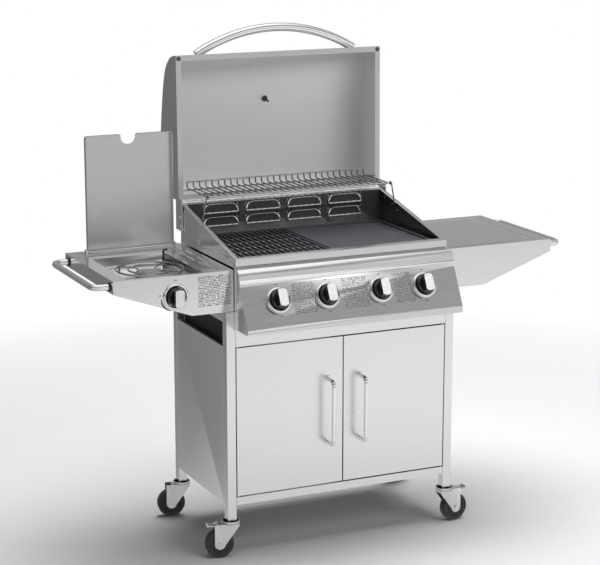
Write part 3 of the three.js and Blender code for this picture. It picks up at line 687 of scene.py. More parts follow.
def print_tree():
    """Rows of short printed dashes of uneven length on the XY plane, in place of wording."""
    tree, net, given = geometry_tree(
        "Printed rows",
        [("Width", "Float"), ("Height", "Float"), ("Columns", "Int"), ("Rows", "Int"),
         ("Thickness", "Float"), ("Seed", "Int"), ("Material", "Material")],
    )
    grid = net.add(
        "GeometryNodeMeshGrid", {}, Size_X=given.of("Width"), Size_Y=given.of("Height"),
        Vertices_X=given.of("Columns"), Vertices_Y=given.of("Rows"),
    )
    long = given.of("Width").math("DIVIDE", given.of("Columns")) * 0.95
    high = given.of("Height").math("DIVIDE", given.of("Rows")) * 0.52
    size = net.add("ShaderNodeCombineXYZ", {}, X=long, Y=high, Z=given.of("Thickness"))
    dash = net.add("GeometryNodeMeshCube", {}, Size=size)
    drift = net.add(
        "FunctionNodeRandomValue", {"data_type": "FLOAT_VECTOR"},
        Min=(-DRIFT, 0, 0), Max=(DRIFT, 0, 0), Seed=given.of("Seed"),
    )
    grid = net.add("GeometryNodeSetPosition", {}, grid, Offset=drift)
    shown = net.add(
        "FunctionNodeRandomValue", {"data_type": "BOOLEAN"}, Probability=0.9, Seed=given.of("Seed")
    )
    length = net.add(
        "FunctionNodeRandomValue", {"data_type": "FLOAT_VECTOR"},
        Min=(0.3, 0.8, 1), Max=(1.3, 1.1, 1), Seed=given.of("Seed"),
    )
    placed = net.add(
        "GeometryNodeInstanceOnPoints", {}, grid, Selection=shown, Instance=dash, Scale=length
    )
    close_tree(net, given, placed)
    return tree


def grown(name, shape, tree, values, material):
    """Runs a geometry node tree on a bmesh and returns a plain object."""
    mesh = bpy.data.meshes.new(name)
    shape.to_mesh(mesh)
    shape.free()
    source = bpy.data.objects.new(f"{name}_source", mesh)
    bpy.context.scene.collection.objects.link(source)
    modifier = source.modifiers.new("grow", "NODES")
    modifier.node_group = tree
    sockets = {s.name: s.identifier for s in tree.interface.items_tree if s.in_out == "INPUT"}
    for label, value in {**values, "Material": material}.items():
        modifier[sockets[label]] = value
    graph = bpy.context.evaluated_depsgraph_get()
    result = bpy.data.meshes.new_from_object(source.evaluated_get(graph))
    source.modifiers.remove(modifier)
    bpy.data.objects.remove(source)
    result.name = name
    for face in result.polygons:
        face.use_smooth = True
    result.set_sharp_from_angle(angle=SHARP)
    obj = bpy.data.objects.new(name, result)
    bpy.context.scene.collection.objects.link(obj)
    return obj


def rows_of(count, step, rises=1, rise=(0, 0, 0)):
    """What the rows tree needs: how many copies each way, and how far apart."""
    return {"Count A": count, "Step A": step, "Count B": rises, "Step B": rise}


# radius and height of each group's heads
SCREW_HEADS = {
    "cabinet_screws": (0.0042, 0.0022),
    "firebox_screws": (0.0032, 0.0022),
    "burner_bowl_screws": (0.0040, 0.0022),
    "hinge_bolts": (0.0045, 0.0030),
    "rail_screws": (0.0035, 0.0015),
}


def screws(name, spots):
    """A group of zinc screw heads on the cart, at (place, facing) spots."""
    radius, height = SCREW_HEADS[name]
    shape = bmesh.new()
    facing = shape.verts.layers.float_vector.new("facing")
    for place, direction in spots:
        shape.verts.new(place)[facing] = direction
    values = {"Radius": radius, "Height": height}
    hand_over(grown(name, shape, TREES["heads"], values, paint("zinc")), "cart")


TREES = {
    "rows": rows_tree(),
    "circle": circle_tree(),
    "heads": heads_tree(),
    "print": print_tree(),
}


# ---------------------------------------------------------------- settings in the sidebar


class GrillFinish(bpy.types.PropertyGroup):
    """Colours and gloss of the grill's surfaces."""

    steel: FloatVectorProperty(
        name="Stainless steel", description="Colour of the brushed sheet", subtype="COLOR",
        default=(0.80, 0.803, 0.808),
    )
    # painted light: the side sheets get their own copy of the steel, lighter than the doors'
    # steel, set to how bright they show under this light
    shaded_steel: FloatVectorProperty(
        name="Side sheet", description="Colour of the cabinet's side sheets", subtype="COLOR",
        default=(0.90, 0.903, 0.91),
    )
    hood_inside: FloatVectorProperty(
        name="Hood steel", description="Colour of the hood's satin sheet", subtype="COLOR",
        default=(0.66, 0.662, 0.668),
    )
    steel_roughness: FloatProperty(
        name="Steel roughness", description="Roughness of the brushed sheet", subtype="FACTOR",
        default=0.27, min=0.02, max=1.0,
    )
    chrome: FloatVectorProperty(
        name="Polished tube", description="Colour of handles, bars and wire", subtype="COLOR",
        default=(0.86, 0.865, 0.875),
    )
    black: FloatVectorProperty(
        name="Black enamel", description="Colour of the firebox and plate", subtype="COLOR",
        default=(0.044, 0.044, 0.049),
    )
    plastic: FloatVectorProperty(
        name="Black plastic", description="Colour of the knobs", subtype="COLOR",
        default=(0.010, 0.010, 0.012),
    )
    zinc: FloatVectorProperty(
        name="Zinc plate", description="Colour of casters and hinges", subtype="COLOR",
        default=(0.74, 0.75, 0.76),
    )
    tyre: FloatVectorProperty(
        name="Tyre", description="Colour of the caster wheels", subtype="COLOR",
        default=(0.030, 0.030, 0.034),
    )


class GrillKnobSizes(bpy.types.PropertyGroup):
    """Sizes of the control knobs and what surrounds them."""

    disc: FloatProperty(
        name="Disc radius", description="Radius of the knob's black disc", unit="LENGTH",
        default=0.0240, min=0.01, max=0.03,
    )
    bezel: FloatProperty(
        name="Bezel radius", description="Outer radius of the chrome ring", unit="LENGTH",
        default=0.0335, min=0.03, max=0.04,
    )
    grip_width: FloatProperty(
        name="Grip width", description="Width of the grip bar", unit="LENGTH",
        default=0.0250, min=0.008, max=0.028,
    )
    height: FloatProperty(
        name="Height", description="Height of the grip above the panel", unit="LENGTH",
        default=0.0315, min=0.02, max=0.034,
    )


class GrillCookingSizes(bpy.types.PropertyGroup):
    """Sizes of the bars and wires over the fire."""

    bar_pitch: FloatProperty(
        name="Grate pitch", description="Distance between grate bars", unit="LENGTH",
        default=0.0165, min=0.01, max=0.03,
    )
    bar_width: FloatProperty(
        name="Grate bar", description="Width of one grate bar", unit="LENGTH",
        default=0.0064, min=0.003, max=0.01,
    )
    rack_wires: IntProperty(
        name="Rack wires", description="Wires across the warming rack", default=30, min=10, max=60
    )
    rack_wire: FloatProperty(
        name="Rack wire radius", description="Radius of one rack wire", unit="LENGTH",
        default=0.0018, min=0.001, max=0.004,
    )


class GrillStudio(bpy.types.PropertyGroup):
    """Lens and light of the studio."""

    lens: FloatProperty(
        name="Focal length", description="Camera lens", default=113.5, min=20, max=300
    )
    light: FloatProperty(
        name="Key light", description="Power of the large soft light", default=300.0, min=0
    )


RECIPES = {
    "steel_x": lambda f: brushed_steel("Steel brushed across", f.steel, f.steel_roughness, 0),
    "steel_z": lambda f: brushed_steel("Steel brushed upright", f.steel, f.steel_roughness, 2),
    # painted light: the side sheets' own, lighter copy of the steel
    "side_steel": lambda f: brushed_steel(
        "Cabinet side steel", f.shaded_steel, f.steel_roughness + 0.05, 2
    ),
    "hood_steel": lambda f: brushed_steel(
        "Hood steel", f.hood_inside, f.steel_roughness + 0.06, 0
    ),
    "table_steel": lambda f: brushed_steel("Table steel", shade(f.steel, 0.94), 0.15, 0),
    "box_steel": lambda f: brushed_steel("Firebox steel", shade(f.steel, 0.94), 0.13, 1),
    # painted light: the inside of the hood is the hood's steel lightened by 1.2, to make up for
    # the dark that its blurred reflections bring
    "hood_lining": lambda f: brushed_steel(
        "Hood inside steel", shade(f.hood_inside, 1.2), f.steel_roughness + 0.2, 0, 0.7
    ),
    # painted highlight: a brighter, near-mirror copy of the steel for the front faces of the
    # panel's bead
    "bead_highlight": lambda f: brushed_steel("Polished trim", (0.95, 0.95, 0.955), 0.08, 0),
    # painted shade: a near-black material for the sheets that stand in for the dark inside the
    # cabinet
    "painted_shade_black": lambda f: rubber("Sooted sheet", (0.008, 0.008, 0.009)),
    "chrome": lambda f: polished_tube("Polished tube", f.chrome, 0.07),
    "silver": lambda f: silver_paint("Silver lacquer", (0.80, 0.80, 0.81)),
    # painted shade: the rack's wires are the polished tube's colour darkened to 0.13, so they show
    # dark
    "wire": lambda f: polished_tube("Rack wire", shade(f.chrome, 0.13), 0.22),
    "leg_wire": lambda f: polished_tube("Rack leg wire", shade(f.chrome, 0.5), 0.16),
    "galvanised": lambda f: galvanised("Galvanised sheet", (0.55, 0.56, 0.58)),
    "enamel": lambda f: enamel("Firebox enamel", f.black, 0.28),
    "iron": lambda f: cast_iron("Cast iron", f.black),
    "burner": lambda f: heated_steel("Burner steel", (0.52, 0.51, 0.50), 1),
    "tamer": lambda f: heated_steel("Flame tamer steel", (0.45, 0.44, 0.43), 1),
    "brass": lambda f: plated("Brass", (0.60, 0.44, 0.20), 0.26),
    "aluminium": lambda f: plated("Cast aluminium", (0.58, 0.58, 0.59), 0.34),
    "zinc": lambda f: plated("Zinc plate", f.zinc, 0.16),
    "tyre": lambda f: rubber("Tyre rubber", f.tyre),
    "rod": lambda f: polished_tube("Rack rod", shade(f.chrome, 0.6), 0.14),
    "plastic": lambda f: moulded_plastic("Knob plastic", f.plastic, 0.22),
    "bumper": lambda f: rubber("Bumper rubber", (0.045, 0.045, 0.05)),
    "ink": lambda f: printed_ink("Printed marks", (0.035, 0.035, 0.038)),
    # painted shade: the lid is the cabinet's steel darkened to 0.82, so its face shows darker than
    # the rest of the steel
    "lid_steel": lambda f: brushed_steel("Lid steel", shade(f.steel, 0.82), 0.34, 0),
    "dial": lambda f: dial_paper("Dial face", (0.82, 0.82, 0.80)),
    "black_trivet": lambda f: polished_tube("Pot support steel", shade(f.chrome, 0.42), 0.10),
}
PAINTS = {}


def paint(name):
    """A material by its short name, made when it is first used."""
    if name not in PAINTS:
        PAINTS[name] = RECIPES[name](bpy.context.scene.grill_finish)
    return PAINTS[name]


def joint_place(name):
    """A joint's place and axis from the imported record."""
    joint = next(j for j in frame["joints"] if j["name"] == name)
    return Vector(joint["pos_m"]), Vector(joint["axis"])


def shaded_object(name, shape, material, body, nodes=(), width=0.0):
    """A modelled piece: its object, its softened edges and its body."""
    obj = plain_object(name, shape, material)
    if width:
        soften_edges(obj, width)
    return hand_over(obj, body, nodes)


# ---------------------------------------------------------------- cabinet


# black sheets at the cabinet's sides, below the firebox's ends: painted shade, standing in for the
# dark inside the cabinet
SHADE_SHEET = {"x": (0.3017, 0.3033), "y": (0.027, 0.343), "z": (0.530, 0.645)}
PANEL_SCREW = {"from_end": 0.03, "from_side": 0.02}


def make_cart_frame():
    for side, _ in SIDES:
        for end in ENDS:
            refined(f"leg_{end}_{side}", paint("steel_z"), 0.0007)
        refined(f"side_panel_{side}", paint("side_steel"), 0.0004)
    for rail in ("front_bottom_rail", "front_top_rail"):
        refined(rail, paint("steel_x"), 0.0006)
    refined("bottom_shelf", paint("galvanised"), 0.0004)
    refined("back_panel", paint("galvanised"), 0.0004)
    refined("door_catch", paint("plastic"), 0.0008)
    # a near-black sheet on each side: painted shade for the dark inside the cabinet
    for side, sign in SIDES:
        sheet = bmesh.new()
        x0, x1 = sorted(sign * x for x in SHADE_SHEET["x"])
        (y0, y1), (z0, z1) = SHADE_SHEET["y"], SHADE_SHEET["z"]
        add_box(sheet, at(x0, y0, z0), at(x1, y1, z1))
        shaded_object(
            f"heat_shield_{side}", sheet, paint("painted_shade_black"), "cart", (), 0.0004
        )
    low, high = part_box("back_panel")
    rear, inset = high.y + 0.0002, PANEL_SCREW["from_end"]
    spots = []
    for _, sign in SIDES:
        x = sign * (high.x - PANEL_SCREW["from_side"])
        for z in (low.z + inset, (low.z + high.z) / 2, high.z - inset):
            spots.append((Vector((x, rear, z)), DEEP))
    screws("cabinet_screws", spots)


DOOR_BAR = {"radius": 0.0055, "reach": 0.039, "bend": 0.016, "sunk": 0.0003}
DOOR_COLLAR = {"wall": 0.0032, "height": 0.0030}


def make_doors():
    for side, sign in SIDES:
        body = f"door_{side}"
        refined(f"door_{side}", paint("steel_x"), 0.0009)
        low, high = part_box(f"door_handle_{side}")
        x = (low.x + high.x) / 2
        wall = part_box(f"door_{side}")[0].y
        radius, out, root = DOOR_BAR["radius"], wall - DOOR_BAR["reach"], wall - DOOR_BAR["sunk"]
        bottom, top = low.z + radius, high.z - radius
        corners = [
            Vector((x, root, bottom)), Vector((x, out, bottom)),
            Vector((x, out, top)), Vector((x, root, top)),
        ]
        bar = bmesh.new()
        add_tube(bar, bent_path(corners, DOOR_BAR["bend"], 12), radius, 28)
        shaded_object(
            f"door_bar_{side}", bar, paint("chrome"), body, [f"door_handle_{side}"]
        )
        collars = bmesh.new()
        ring = collar_profile(radius, DOOR_COLLAR["wall"], DOOR_COLLAR["height"])
        for z in (bottom, top):
            turn = Matrix.Translation((x, wall - 0.0001, z)) @ Matrix.Rotation(math.pi / 2, 4, "X")
            add_ring(collars, ring, 32, turn)
        shaded_object(f"door_bar_collars_{side}", collars, paint("chrome"), body)


# ---------------------------------------------------------------- firebox and fire


FIREBOX = {"wall": 0.360, "sheet": 0.0008, "rim": 0.76}
# a thin bright metal strip on the rear wall behind the cooking plates: a painted highlight,
# standing in for the light along the griddle's rear edge
HIGHLIGHT_STRIP = {"half": 0.285, "y": (0.3575, 0.3597), "z": (0.7752, 0.7768)}
LOUVRE = {
    "first": -0.239, "step": 0.1227, "count": 4, "foot": 0.7965, "rise": 0.035, "rows": 2,
    "width": 0.098, "height": 0.0225, "corner": 0.0195, "wire": 0.0022, "lean": 0.1,
    "cover_corner": 0.004, "cover": (-0.0028, -0.0002), "proud": 0.0050,
}
# the screws in the firebox's ends: depth and height
RIGHT_SCREWS = ((0.343, 0.838), (0.300, 0.826), (0.268, 0.815))
LEFT_SCREWS = ((0.343, 0.838), (0.268, 0.815))


def louvre_outline(corner):
    """A flat-bottomed opening with round shoulders, from its lower left corner."""
    width, height = LOUVRE["width"], LOUVRE["height"]
    points = [(0.0, 0.0), (width, 0.0)]
    for centre, start in ((width - corner, 0), (corner, 90)):
        for k in range(9):
            turn = math.radians(start + k * 90 / 8)
            points.append(
                (centre + corner * math.cos(turn), height - corner + corner * math.sin(turn))
            )
    return points


def make_firebox():
    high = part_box("firebox")[1]
    sheet = FIREBOX["sheet"]
    front = CABINET_FRONT + 0.001

    def skin(centre, normal):
        """Steel outside, behind, on the rim and on the front lip; enamel everywhere else."""
        outside = abs(centre.x) > high.x - sheet and abs(normal.x) > 0.7
        behind = centre.y > high.y - sheet and normal.y > 0.7
        rim = normal.z > 0.9 and centre.z > FIREBOX["rim"]
        lip = centre.y < front and normal.y < -0.7
        return 1 if outside or behind or rim or lip else 0

    refined(
        "firebox", [paint("enamel"), paint("box_steel")], 0.0005, choose=skin
    )
    # painted highlight: the bright strip along the griddle's rear edge
    highlight_strip = bmesh.new()
    half, (y0, y1), (z0, z1) = HIGHLIGHT_STRIP["half"], HIGHLIGHT_STRIP["y"], HIGHLIGHT_STRIP["z"]
    add_box(highlight_strip, at(-half, y0, z0), at(half, y1, z1))
    shaded_object("rear_ledge_edge", highlight_strip, paint("rod"), "cart", (), 0.0004)
    wall = CABINET_FRONT + FIREBOX["wall"]
    first, foot = LOUVRE["first"], LOUVRE["foot"]
    grid = rows_of(LOUVRE["count"], (LOUVRE["step"], 0, 0), LOUVRE["rows"], (0, 0, LOUVRE["rise"]))
    rim = bmesh.new()
    loop = [
        Vector((first + a, wall - LOUVRE["proud"] + LOUVRE["lean"] * b, foot + b))
        for a, b in louvre_outline(LOUVRE["corner"])
    ]
    add_tube(rim, [*loop, loop[0], loop[1]], LOUVRE["wire"], 10)
    rims = grown("louvre_rims", rim, TREES["rows"], grid, paint("chrome"))
    hand_over(rims, "cart")
    cover = bmesh.new()
    add_prism(
        cover, louvre_outline(LOUVRE["cover_corner"]), *LOUVRE["cover"],
        lambda a, b, h: Vector((first + a, wall + h, foot + b)),
    )
    covers = grown("louvre_hoods", cover, TREES["rows"], grid, paint("enamel"))
    hand_over(covers, "cart")
    inner = high.x - 0.0027
    spots = [(at(inner, y, z), Vector((-1, 0, 0))) for y, z in RIGHT_SCREWS]
    spots += [(at(-inner, y, z), Vector((1, 0, 0))) for y, z in LEFT_SCREWS]
    screws("firebox_screws", spots)


PORTS = {"turn": math.radians(62), "first": 0.06, "step": 0.011, "count": 24}
PORT_RING = [(0.0008, -0.0004), (0.0022, -0.0004), (0.0022, 0.0004), (0.0008, 0.0004)]


def make_burners():
    for i in BURNERS:
        refined(f"burner_tube_{i}", paint("burner"), 0.0004)
        refined(f"flame_tamer_{i}", paint("tamer"), 0.0004)
    across, up = math.cos(PORTS["turn"]), math.sin(PORTS["turn"])
    for i in BURNERS:
        low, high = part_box(f"burner_tube_{i}")
        radius = (high.z - low.z) / 2
        x, y, z = (low.x + high.x) / 2, low.y + PORTS["first"], (low.z + high.z) / 2
        port = bmesh.new()
        for _, sign in SIDES:
            place = Vector((x + sign * radius * across, y, z + radius * up))
            add_ring(port, PORT_RING, 8, standing(place, Vector((sign * across, 0, up))))
        ports = grown(
            f"burner_ports_{i}", port, TREES["rows"],
            rows_of(PORTS["count"], (0, PORTS["step"], 0)), paint("burner"),
        )
        hand_over(ports, "cart")


# places along the grate are measured from its front edge, the cross bars' from the cabinet
GRATE = {
    "end_bar": 0.004, "middle_bars": (0.124, 0.239), "cross_half": 0.0039,
    "stud": 0.045, "stud_step": 0.0575, "stud_rows": 5, "strip_half": 0.0026, "strip_top": 0.0046,
}
STUD = [(0, 0.0), (0.0021, 0.0), (0.0019, 0.0010), (0.0011, 0.0018), (0, 0.0021)]


def make_grate():
    sizes = bpy.context.scene.grill_cooking
    low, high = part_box("grill_grate")
    width, pitch = sizes.bar_width, sizes.bar_pitch
    count = int((high.x - low.x - width) / pitch) + 1
    first = low.x + (high.x - low.x - (count - 1) * pitch) / 2
    half = width / 2
    crown = [
        (half * math.cos(turn), high.z - half + half * math.sin(turn))
        for turn in (math.pi * k / 10 for k in range(11))
    ]
    section = [(half * 0.7, low.z), *crown, (-half * 0.7, low.z)]
    bar = bmesh.new()
    add_prism(bar, section, low.y, high.y, lambda a, b, h: Vector((first + a, h, b)))
    bars = grown("grate_bars", bar, TREES["rows"], rows_of(count, (pitch, 0, 0)), paint("iron"))
    hand_over(bars, "cart", ["grill_grate"])
    cross = bmesh.new()
    middle = [CABINET_FRONT + y for y in GRATE["middle_bars"]]
    bottom, top, half = low.z + 0.0004, high.z - 0.0045, GRATE["cross_half"]
    for y in (low.y + GRATE["end_bar"], *middle, high.y - GRATE["end_bar"]):
        add_box(cross, (low.x, y - half, bottom), (high.x, y + half, top))
    shaded_object("grate_cross_bars", cross, paint("iron"), "cart", (), 0.0012)
    start, step, rows = low.y + GRATE["stud"], GRATE["stud_step"], GRATE["stud_rows"]
    top = high.z - GRATE["strip_top"]
    stud = bmesh.new()
    add_turned(stud, STUD, 10, Matrix.Translation((first + pitch / 2, start, top)))
    studs = grown(
        "grate_studs", stud, TREES["rows"],
        rows_of(count - 1, (pitch, 0, 0), rows, (0, step, 0)), paint("chrome"),
    )
    hand_over(studs, "cart")
    strips = bmesh.new()
    bottom, half = high.z - 0.0085, GRATE["strip_half"]
    for y in (start + step * k for k in range(rows)):
        add_box(strips, (low.x, y - half, bottom), (high.x, y + half, top))
    shaded_object("grate_stud_strips", strips, paint("iron"), "cart", (), 0.0008)


def make_griddle():
    refined("griddle_plate", paint("iron"), 0.0015)


def make_grease_tray():
    refined("grease_tray", paint("galvanised"), 0.0004)


# ---------------------------------------------------------------- control panel and knobs


def panel_frame(place, axis):
    """A matrix that lays the XY plane on a panel: X to the right, Y up the slope."""
    right = Vector((1, 0, 0))
    up = axis.cross(right).normalized()
    basis = Matrix((right, up, axis)).transposed().to_4x4()
    return Matrix.Translation(place) @ basis


INK = {"under": 0.00002, "over": 0.00016}
PRINT = {"pitch": 0.0034, "rows": 19, "between": (0.064, 0.076), "side": (0.082, 0.074)}
SIDE_PRINT = {"x": -0.3575, "z": 0.709}
# the folded bead under the panel's top edge: its lower and upper height
BEAD = (0.7185, 0.7330)
# the gauge beside a knob: its gap from the ring, its arc and its swelling
GAUGE = {"gap": 0.0030, "from": 184, "to": 252, "thin": 0.0008, "swell": 0.0040, "steps": 18}
# the paired squares round a knob: their distance from the ring, and their size
STOPS = {"angles": (90, 172, 268), "gap": 0.0075, "shifts": (-0.0032, 0.0010)}
STOP = {"down": 0.0014, "width": 0.0024, "height": 0.0026}
BEZEL = {"gap": 0.0010, "foot": 0.0012, "crest": 0.0062 * 0.8}


def printed_block(name, matrix, size, seed):
    """A block of printed dashes laid on a face."""
    width, height = size
    values = {
        "Width": width, "Height": height, "Columns": max(4, round(width / PRINT["pitch"])),
        "Rows": PRINT["rows"], "Thickness": INK["over"], "Seed": seed,
    }
    obj = grown(name, bmesh.new(), TREES["print"], values, paint("ink"))
    obj.data.transform(matrix)
    return hand_over(obj, "cart")


def add_knob_marks(shape, matrix, radius):
    """The printed gauge beside a knob: a swelling arc, and stops at top, side and bottom."""
    steps = GAUGE["steps"]
    start, end = math.radians(GAUGE["from"]), math.radians(GAUGE["to"])
    inner = radius + GAUGE["gap"]
    turns = [start + (end - start) * k / steps for k in range(steps + 1)]
    outline = []
    for k, turn in enumerate(turns):
        outer = inner + GAUGE["thin"] + GAUGE["swell"] * math.sin(math.pi * (k / steps) ** 0.8)
        outline.append((outer * math.cos(turn), outer * math.sin(turn)))
    outline += [(inner * math.cos(turn), inner * math.sin(turn)) for turn in reversed(turns)]
    add_prism(shape, outline, INK["under"], INK["over"], laid_on(matrix))
    for turn in (math.radians(angle) for angle in STOPS["angles"]):
        reach = radius + STOPS["gap"]
        for shift in STOPS["shifts"]:
            a0, b0 = reach * math.cos(turn) + shift, reach * math.sin(turn) - STOP["down"]
            a1, b1 = a0 + STOP["width"], b0 + STOP["height"]
            square = [(a0, b0), (a1, b0), (a1, b1), (a0, b1)]
            add_prism(shape, square, INK["under"], INK["over"], laid_on(matrix))


def knob_seats():
    """Each knob's node, its body and the matrix of its seat."""
    seats = []
    for i in BURNERS:
        place, axis = joint_place(f"knob_{i}_turn")
        seats.append((f"burner_knob_{i}", f"knob_{i}", panel_frame(place, axis)))
    place, axis = joint_place("knob_side_turn")
    place = Vector((place.x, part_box("side_burner_table")[0].y, place.z))
    seats.append(("side_burner_knob", "knob_side", panel_frame(place, axis)))
    return seats


def make_control_panel():
    # the bead is real; its front-facing faces get a brighter, near-mirror steel, a painted
    # highlight along the bead
    def highlight_band(centre, normal):
        return 1 if normal.y < -0.9 and BEAD[0] < centre.z < BEAD[1] else 0

    refined(
        "control_panel", [paint("steel_x"), paint("bead_highlight")], 0.0005, choose=highlight_band
    )
    sizes = bpy.context.scene.grill_knobs
    marks = bmesh.new()
    bezels = bmesh.new()
    near, far = sizes.disc + BEZEL["gap"], sizes.bezel
    middle, half = (near + far) / 2, (far - near) / 2
    ring = [(near, 0.0), (far, 0.0)]
    for turn in (math.pi * k / 8 for k in range(9)):
        height = BEZEL["foot"] + BEZEL["crest"] * math.sin(turn)
        ring.append((middle + half * math.cos(turn), height))
    for _, _, seat in knob_seats():
        add_knob_marks(marks, seat, sizes.bezel)
        add_ring(bezels, ring, 64, seat)
    shaded_object("knob_marks", marks, paint("ink"), "cart")
    shaded_object("knob_bezels", bezels, paint("chrome"), "cart")
    seats = [seat for node, _, seat in knob_seats() if node.startswith("burner")]
    widest, height = PRINT["between"]
    for k, (here, there) in enumerate(zip(seats, seats[1:])):
        gap = there.translation.x - here.translation.x
        matrix = Matrix.Translation((gap / 2 + 0.002, 0, 0)) @ here
        width = min(gap - 2 * sizes.bezel - 0.008, widest)
        printed_block(f"printed_rows_{k + 1}", matrix, (width, height), 11 + k)
    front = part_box("side_burner_table")[0].y
    matrix = panel_frame(Vector((SIDE_PRINT["x"], front, SIDE_PRINT["z"])), -DEEP)
    printed_block("printed_rows_side", matrix, PRINT["side"], 21)


def make_gas_train():
    refined("gas_manifold", paint("brass"), 0.0004)
    refined("side_burner_valve", paint("brass"), 0.0004)


KNOB = {"stem": 0.004, "depth": -0.014, "foot": 0.0026, "shoulder": 0.0135, "cap": 0.0013}
# a silver plate on the right flank of each grip only: a painted highlight for the flank that
# catches the light; the other flank stays black
LIT_FLANK = {"sunk": 0.0001, "proud": 0.0012, "short": 0.008, "below": 0.0016}


def grip_outline(half, reach):
    """A grip seen from the front: straight sides between two flat arcs."""
    bulge = half / math.sin(math.radians(62))
    outline = []
    for sign, start in ((1, 28), (-1, 208)):
        for k in range(9):
            turn = math.radians(start + 124 * k / 8)
            rise = sign * (reach - 0.0072) + bulge * 0.5 * math.sin(turn)
            outline.append((bulge * math.cos(turn), rise))
    return outline


def make_knobs():
    sizes = bpy.context.scene.grill_knobs
    disc, half, top = sizes.disc, sizes.grip_width / 2, sizes.height
    stem, depth, foot, shoulder = KNOB["stem"], KNOB["depth"], KNOB["foot"], KNOB["shoulder"]
    profile = [
        (0, depth), (stem, depth), (stem, foot), (disc - 0.0012, foot),
        (disc, 0.0040), (disc, shoulder - 0.0045), (disc - 0.0014, shoulder - 0.0016),
        (disc - 0.0045, shoulder), (disc - 0.0060, shoulder - 0.0008), (0, shoulder - 0.0010),
    ]
    reach = disc - 0.0012
    outline = grip_outline(half, reach)
    inset = [(a * 0.92, b * 0.97) for a, b in outline]
    span = reach - LIT_FLANK["short"]
    for node, body, seat in knob_seats():
        base = bmesh.new()
        add_turned(base, profile, 64, seat)
        shaded_object(f"{node}_disc", base, paint("plastic"), body, [node])
        grip = bmesh.new()
        add_prism(grip, outline, shoulder - 0.0012, top - 0.0014, laid_on(seat))
        shaded_object(f"{node}_grip", grip, paint("plastic"), body, (), 0.0012)
        cap = bmesh.new()
        add_prism(cap, inset, top - KNOB["cap"], top, laid_on(seat))
        shaded_object(f"{node}_cap", cap, paint("silver"), body, (), 0.0005)
        # painted highlight: silver on the grip's right flank only
        lit_flank = bmesh.new()
        corners = add_box(
            lit_flank, (half - LIT_FLANK["sunk"], -span, shoulder),
            (half + LIT_FLANK["proud"], span, top - LIT_FLANK["below"]),
        )
        for corner in corners:
            corner.co = seat @ corner.co
        shaded_object(f"{node}_cheek", lit_flank, paint("silver"), body, (), 0.0005)


# ---------------------------------------------------------------- side tables and side burner


def make_burner_table():
    refined("side_burner_table", paint("table_steel"), 0.0008)


def make_side_shelf():
    refined("side_shelf", paint("steel_x"), 0.0008)


TOWEL_BAR = {"bend": 0.026, "collar_wall": 0.0036, "collar_height": 0.0034}


def make_towel_bars():
    for side, sign in SIDES:
        low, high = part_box(f"towel_bar_{side}")
        radius = (high.z - low.z) / 2
        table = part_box("side_burner_table" if sign < 0 else "side_shelf")
        wall = table[0 if sign < 0 else 1].x + sign * 0.0002
        out = (low.x if sign < 0 else high.x) - sign * radius
        z = (low.z + high.z) / 2
        front, back = low.y + radius, high.y - radius
        corners = [
            Vector((wall, front, z)), Vector((out, front, z)),
            Vector((out, back, z)), Vector((wall, back, z)),
        ]
        bar = bmesh.new()
        add_tube(bar, bent_path(corners, TOWEL_BAR["bend"], 12), radius, 32)
        shaded_object(
            f"towel_bar_{side}_tube", bar, paint("chrome"), "cart", [f"towel_bar_{side}"]
        )
        collars = bmesh.new()
        ring = collar_profile(radius, TOWEL_BAR["collar_wall"], TOWEL_BAR["collar_height"])
        turn = Matrix.Rotation(sign * math.pi / 2, 4, "Y")
        for y in (front, back):
            add_ring(collars, ring, 36, Matrix.Translation((wall, y, z)) @ turn)
        shaded_object(
            f"towel_bar_{side}_collars", collars, paint("plastic"), "cart"
        )


# radius and height over the floor of the burner's well
BOWL = [
    (0, -0.020), (0.0130, -0.020), (0.0130, 0.0012), (0.0290, 0.0012), (0.0365, 0.0045),
    (0.0380, 0.0075), (0.0380, 0.0100), (0.0360, 0.0112), (0, 0.0112),
]
BURNER_CAP = [
    (0, 0.0114), (0.0335, 0.0114), (0.0352, 0.0124), (0.0352, 0.0140), (0.0335, 0.0152),
    (0.0200, 0.0176), (0, 0.0184),
]
SIDE_PORTS = {"count": 40, "low": (0.0368, -0.0008, 0.0035), "high": (0.0388, 0.0008, 0.0100)}
POT_SUPPORT = {"wire": 0.0026, "inner": 0.62, "arms": 4, "arm_from": 0.030, "bend": 0.005}
IGNITER = {"x": -0.3905, "y": 0.2645, "wire": 0.0026, "height": 0.0365, "bend": 0.003}
WELL_SCREWS = {"x": 0.062, "y": 0.100}


def make_side_burner():
    low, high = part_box("side_burner_head")
    x, y = (low.x + high.x) / 2, (low.y + high.y) / 2
    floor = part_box("side_burner_trivet")[0].z - 0.0004
    seat = Matrix.Translation((x, y, floor))
    bowl = bmesh.new()
    add_turned(bowl, BOWL, 64, seat)
    shaded_object(
        "burner_bowl", bowl, paint("aluminium"), "cart", ["side_burner_head"]
    )
    cap = bmesh.new()
    add_turned(cap, BURNER_CAP, 64, seat)
    shaded_object("burner_cap", cap, paint("aluminium"), "cart")
    tooth = bmesh.new()
    add_box(tooth, SIDE_PORTS["low"], SIDE_PORTS["high"])
    count = SIDE_PORTS["count"]
    teeth = grown(
        "burner_ports_side", tooth, TREES["circle"], {"Count": count, "Step": 2 * math.pi / count},
        paint("black_trivet"),
    )
    teeth.data.transform(seat)
    hand_over(teeth, "cart")
    make_pot_support(seat, floor)
    make_igniter(floor)
    spots = [
        (Vector((x + dx, y + dy, floor + 0.0001)), UP)
        for dx in (-WELL_SCREWS["x"], WELL_SCREWS["x"])
        for dy in (-WELL_SCREWS["y"], WELL_SCREWS["y"])
    ]
    screws("burner_bowl_screws", spots)


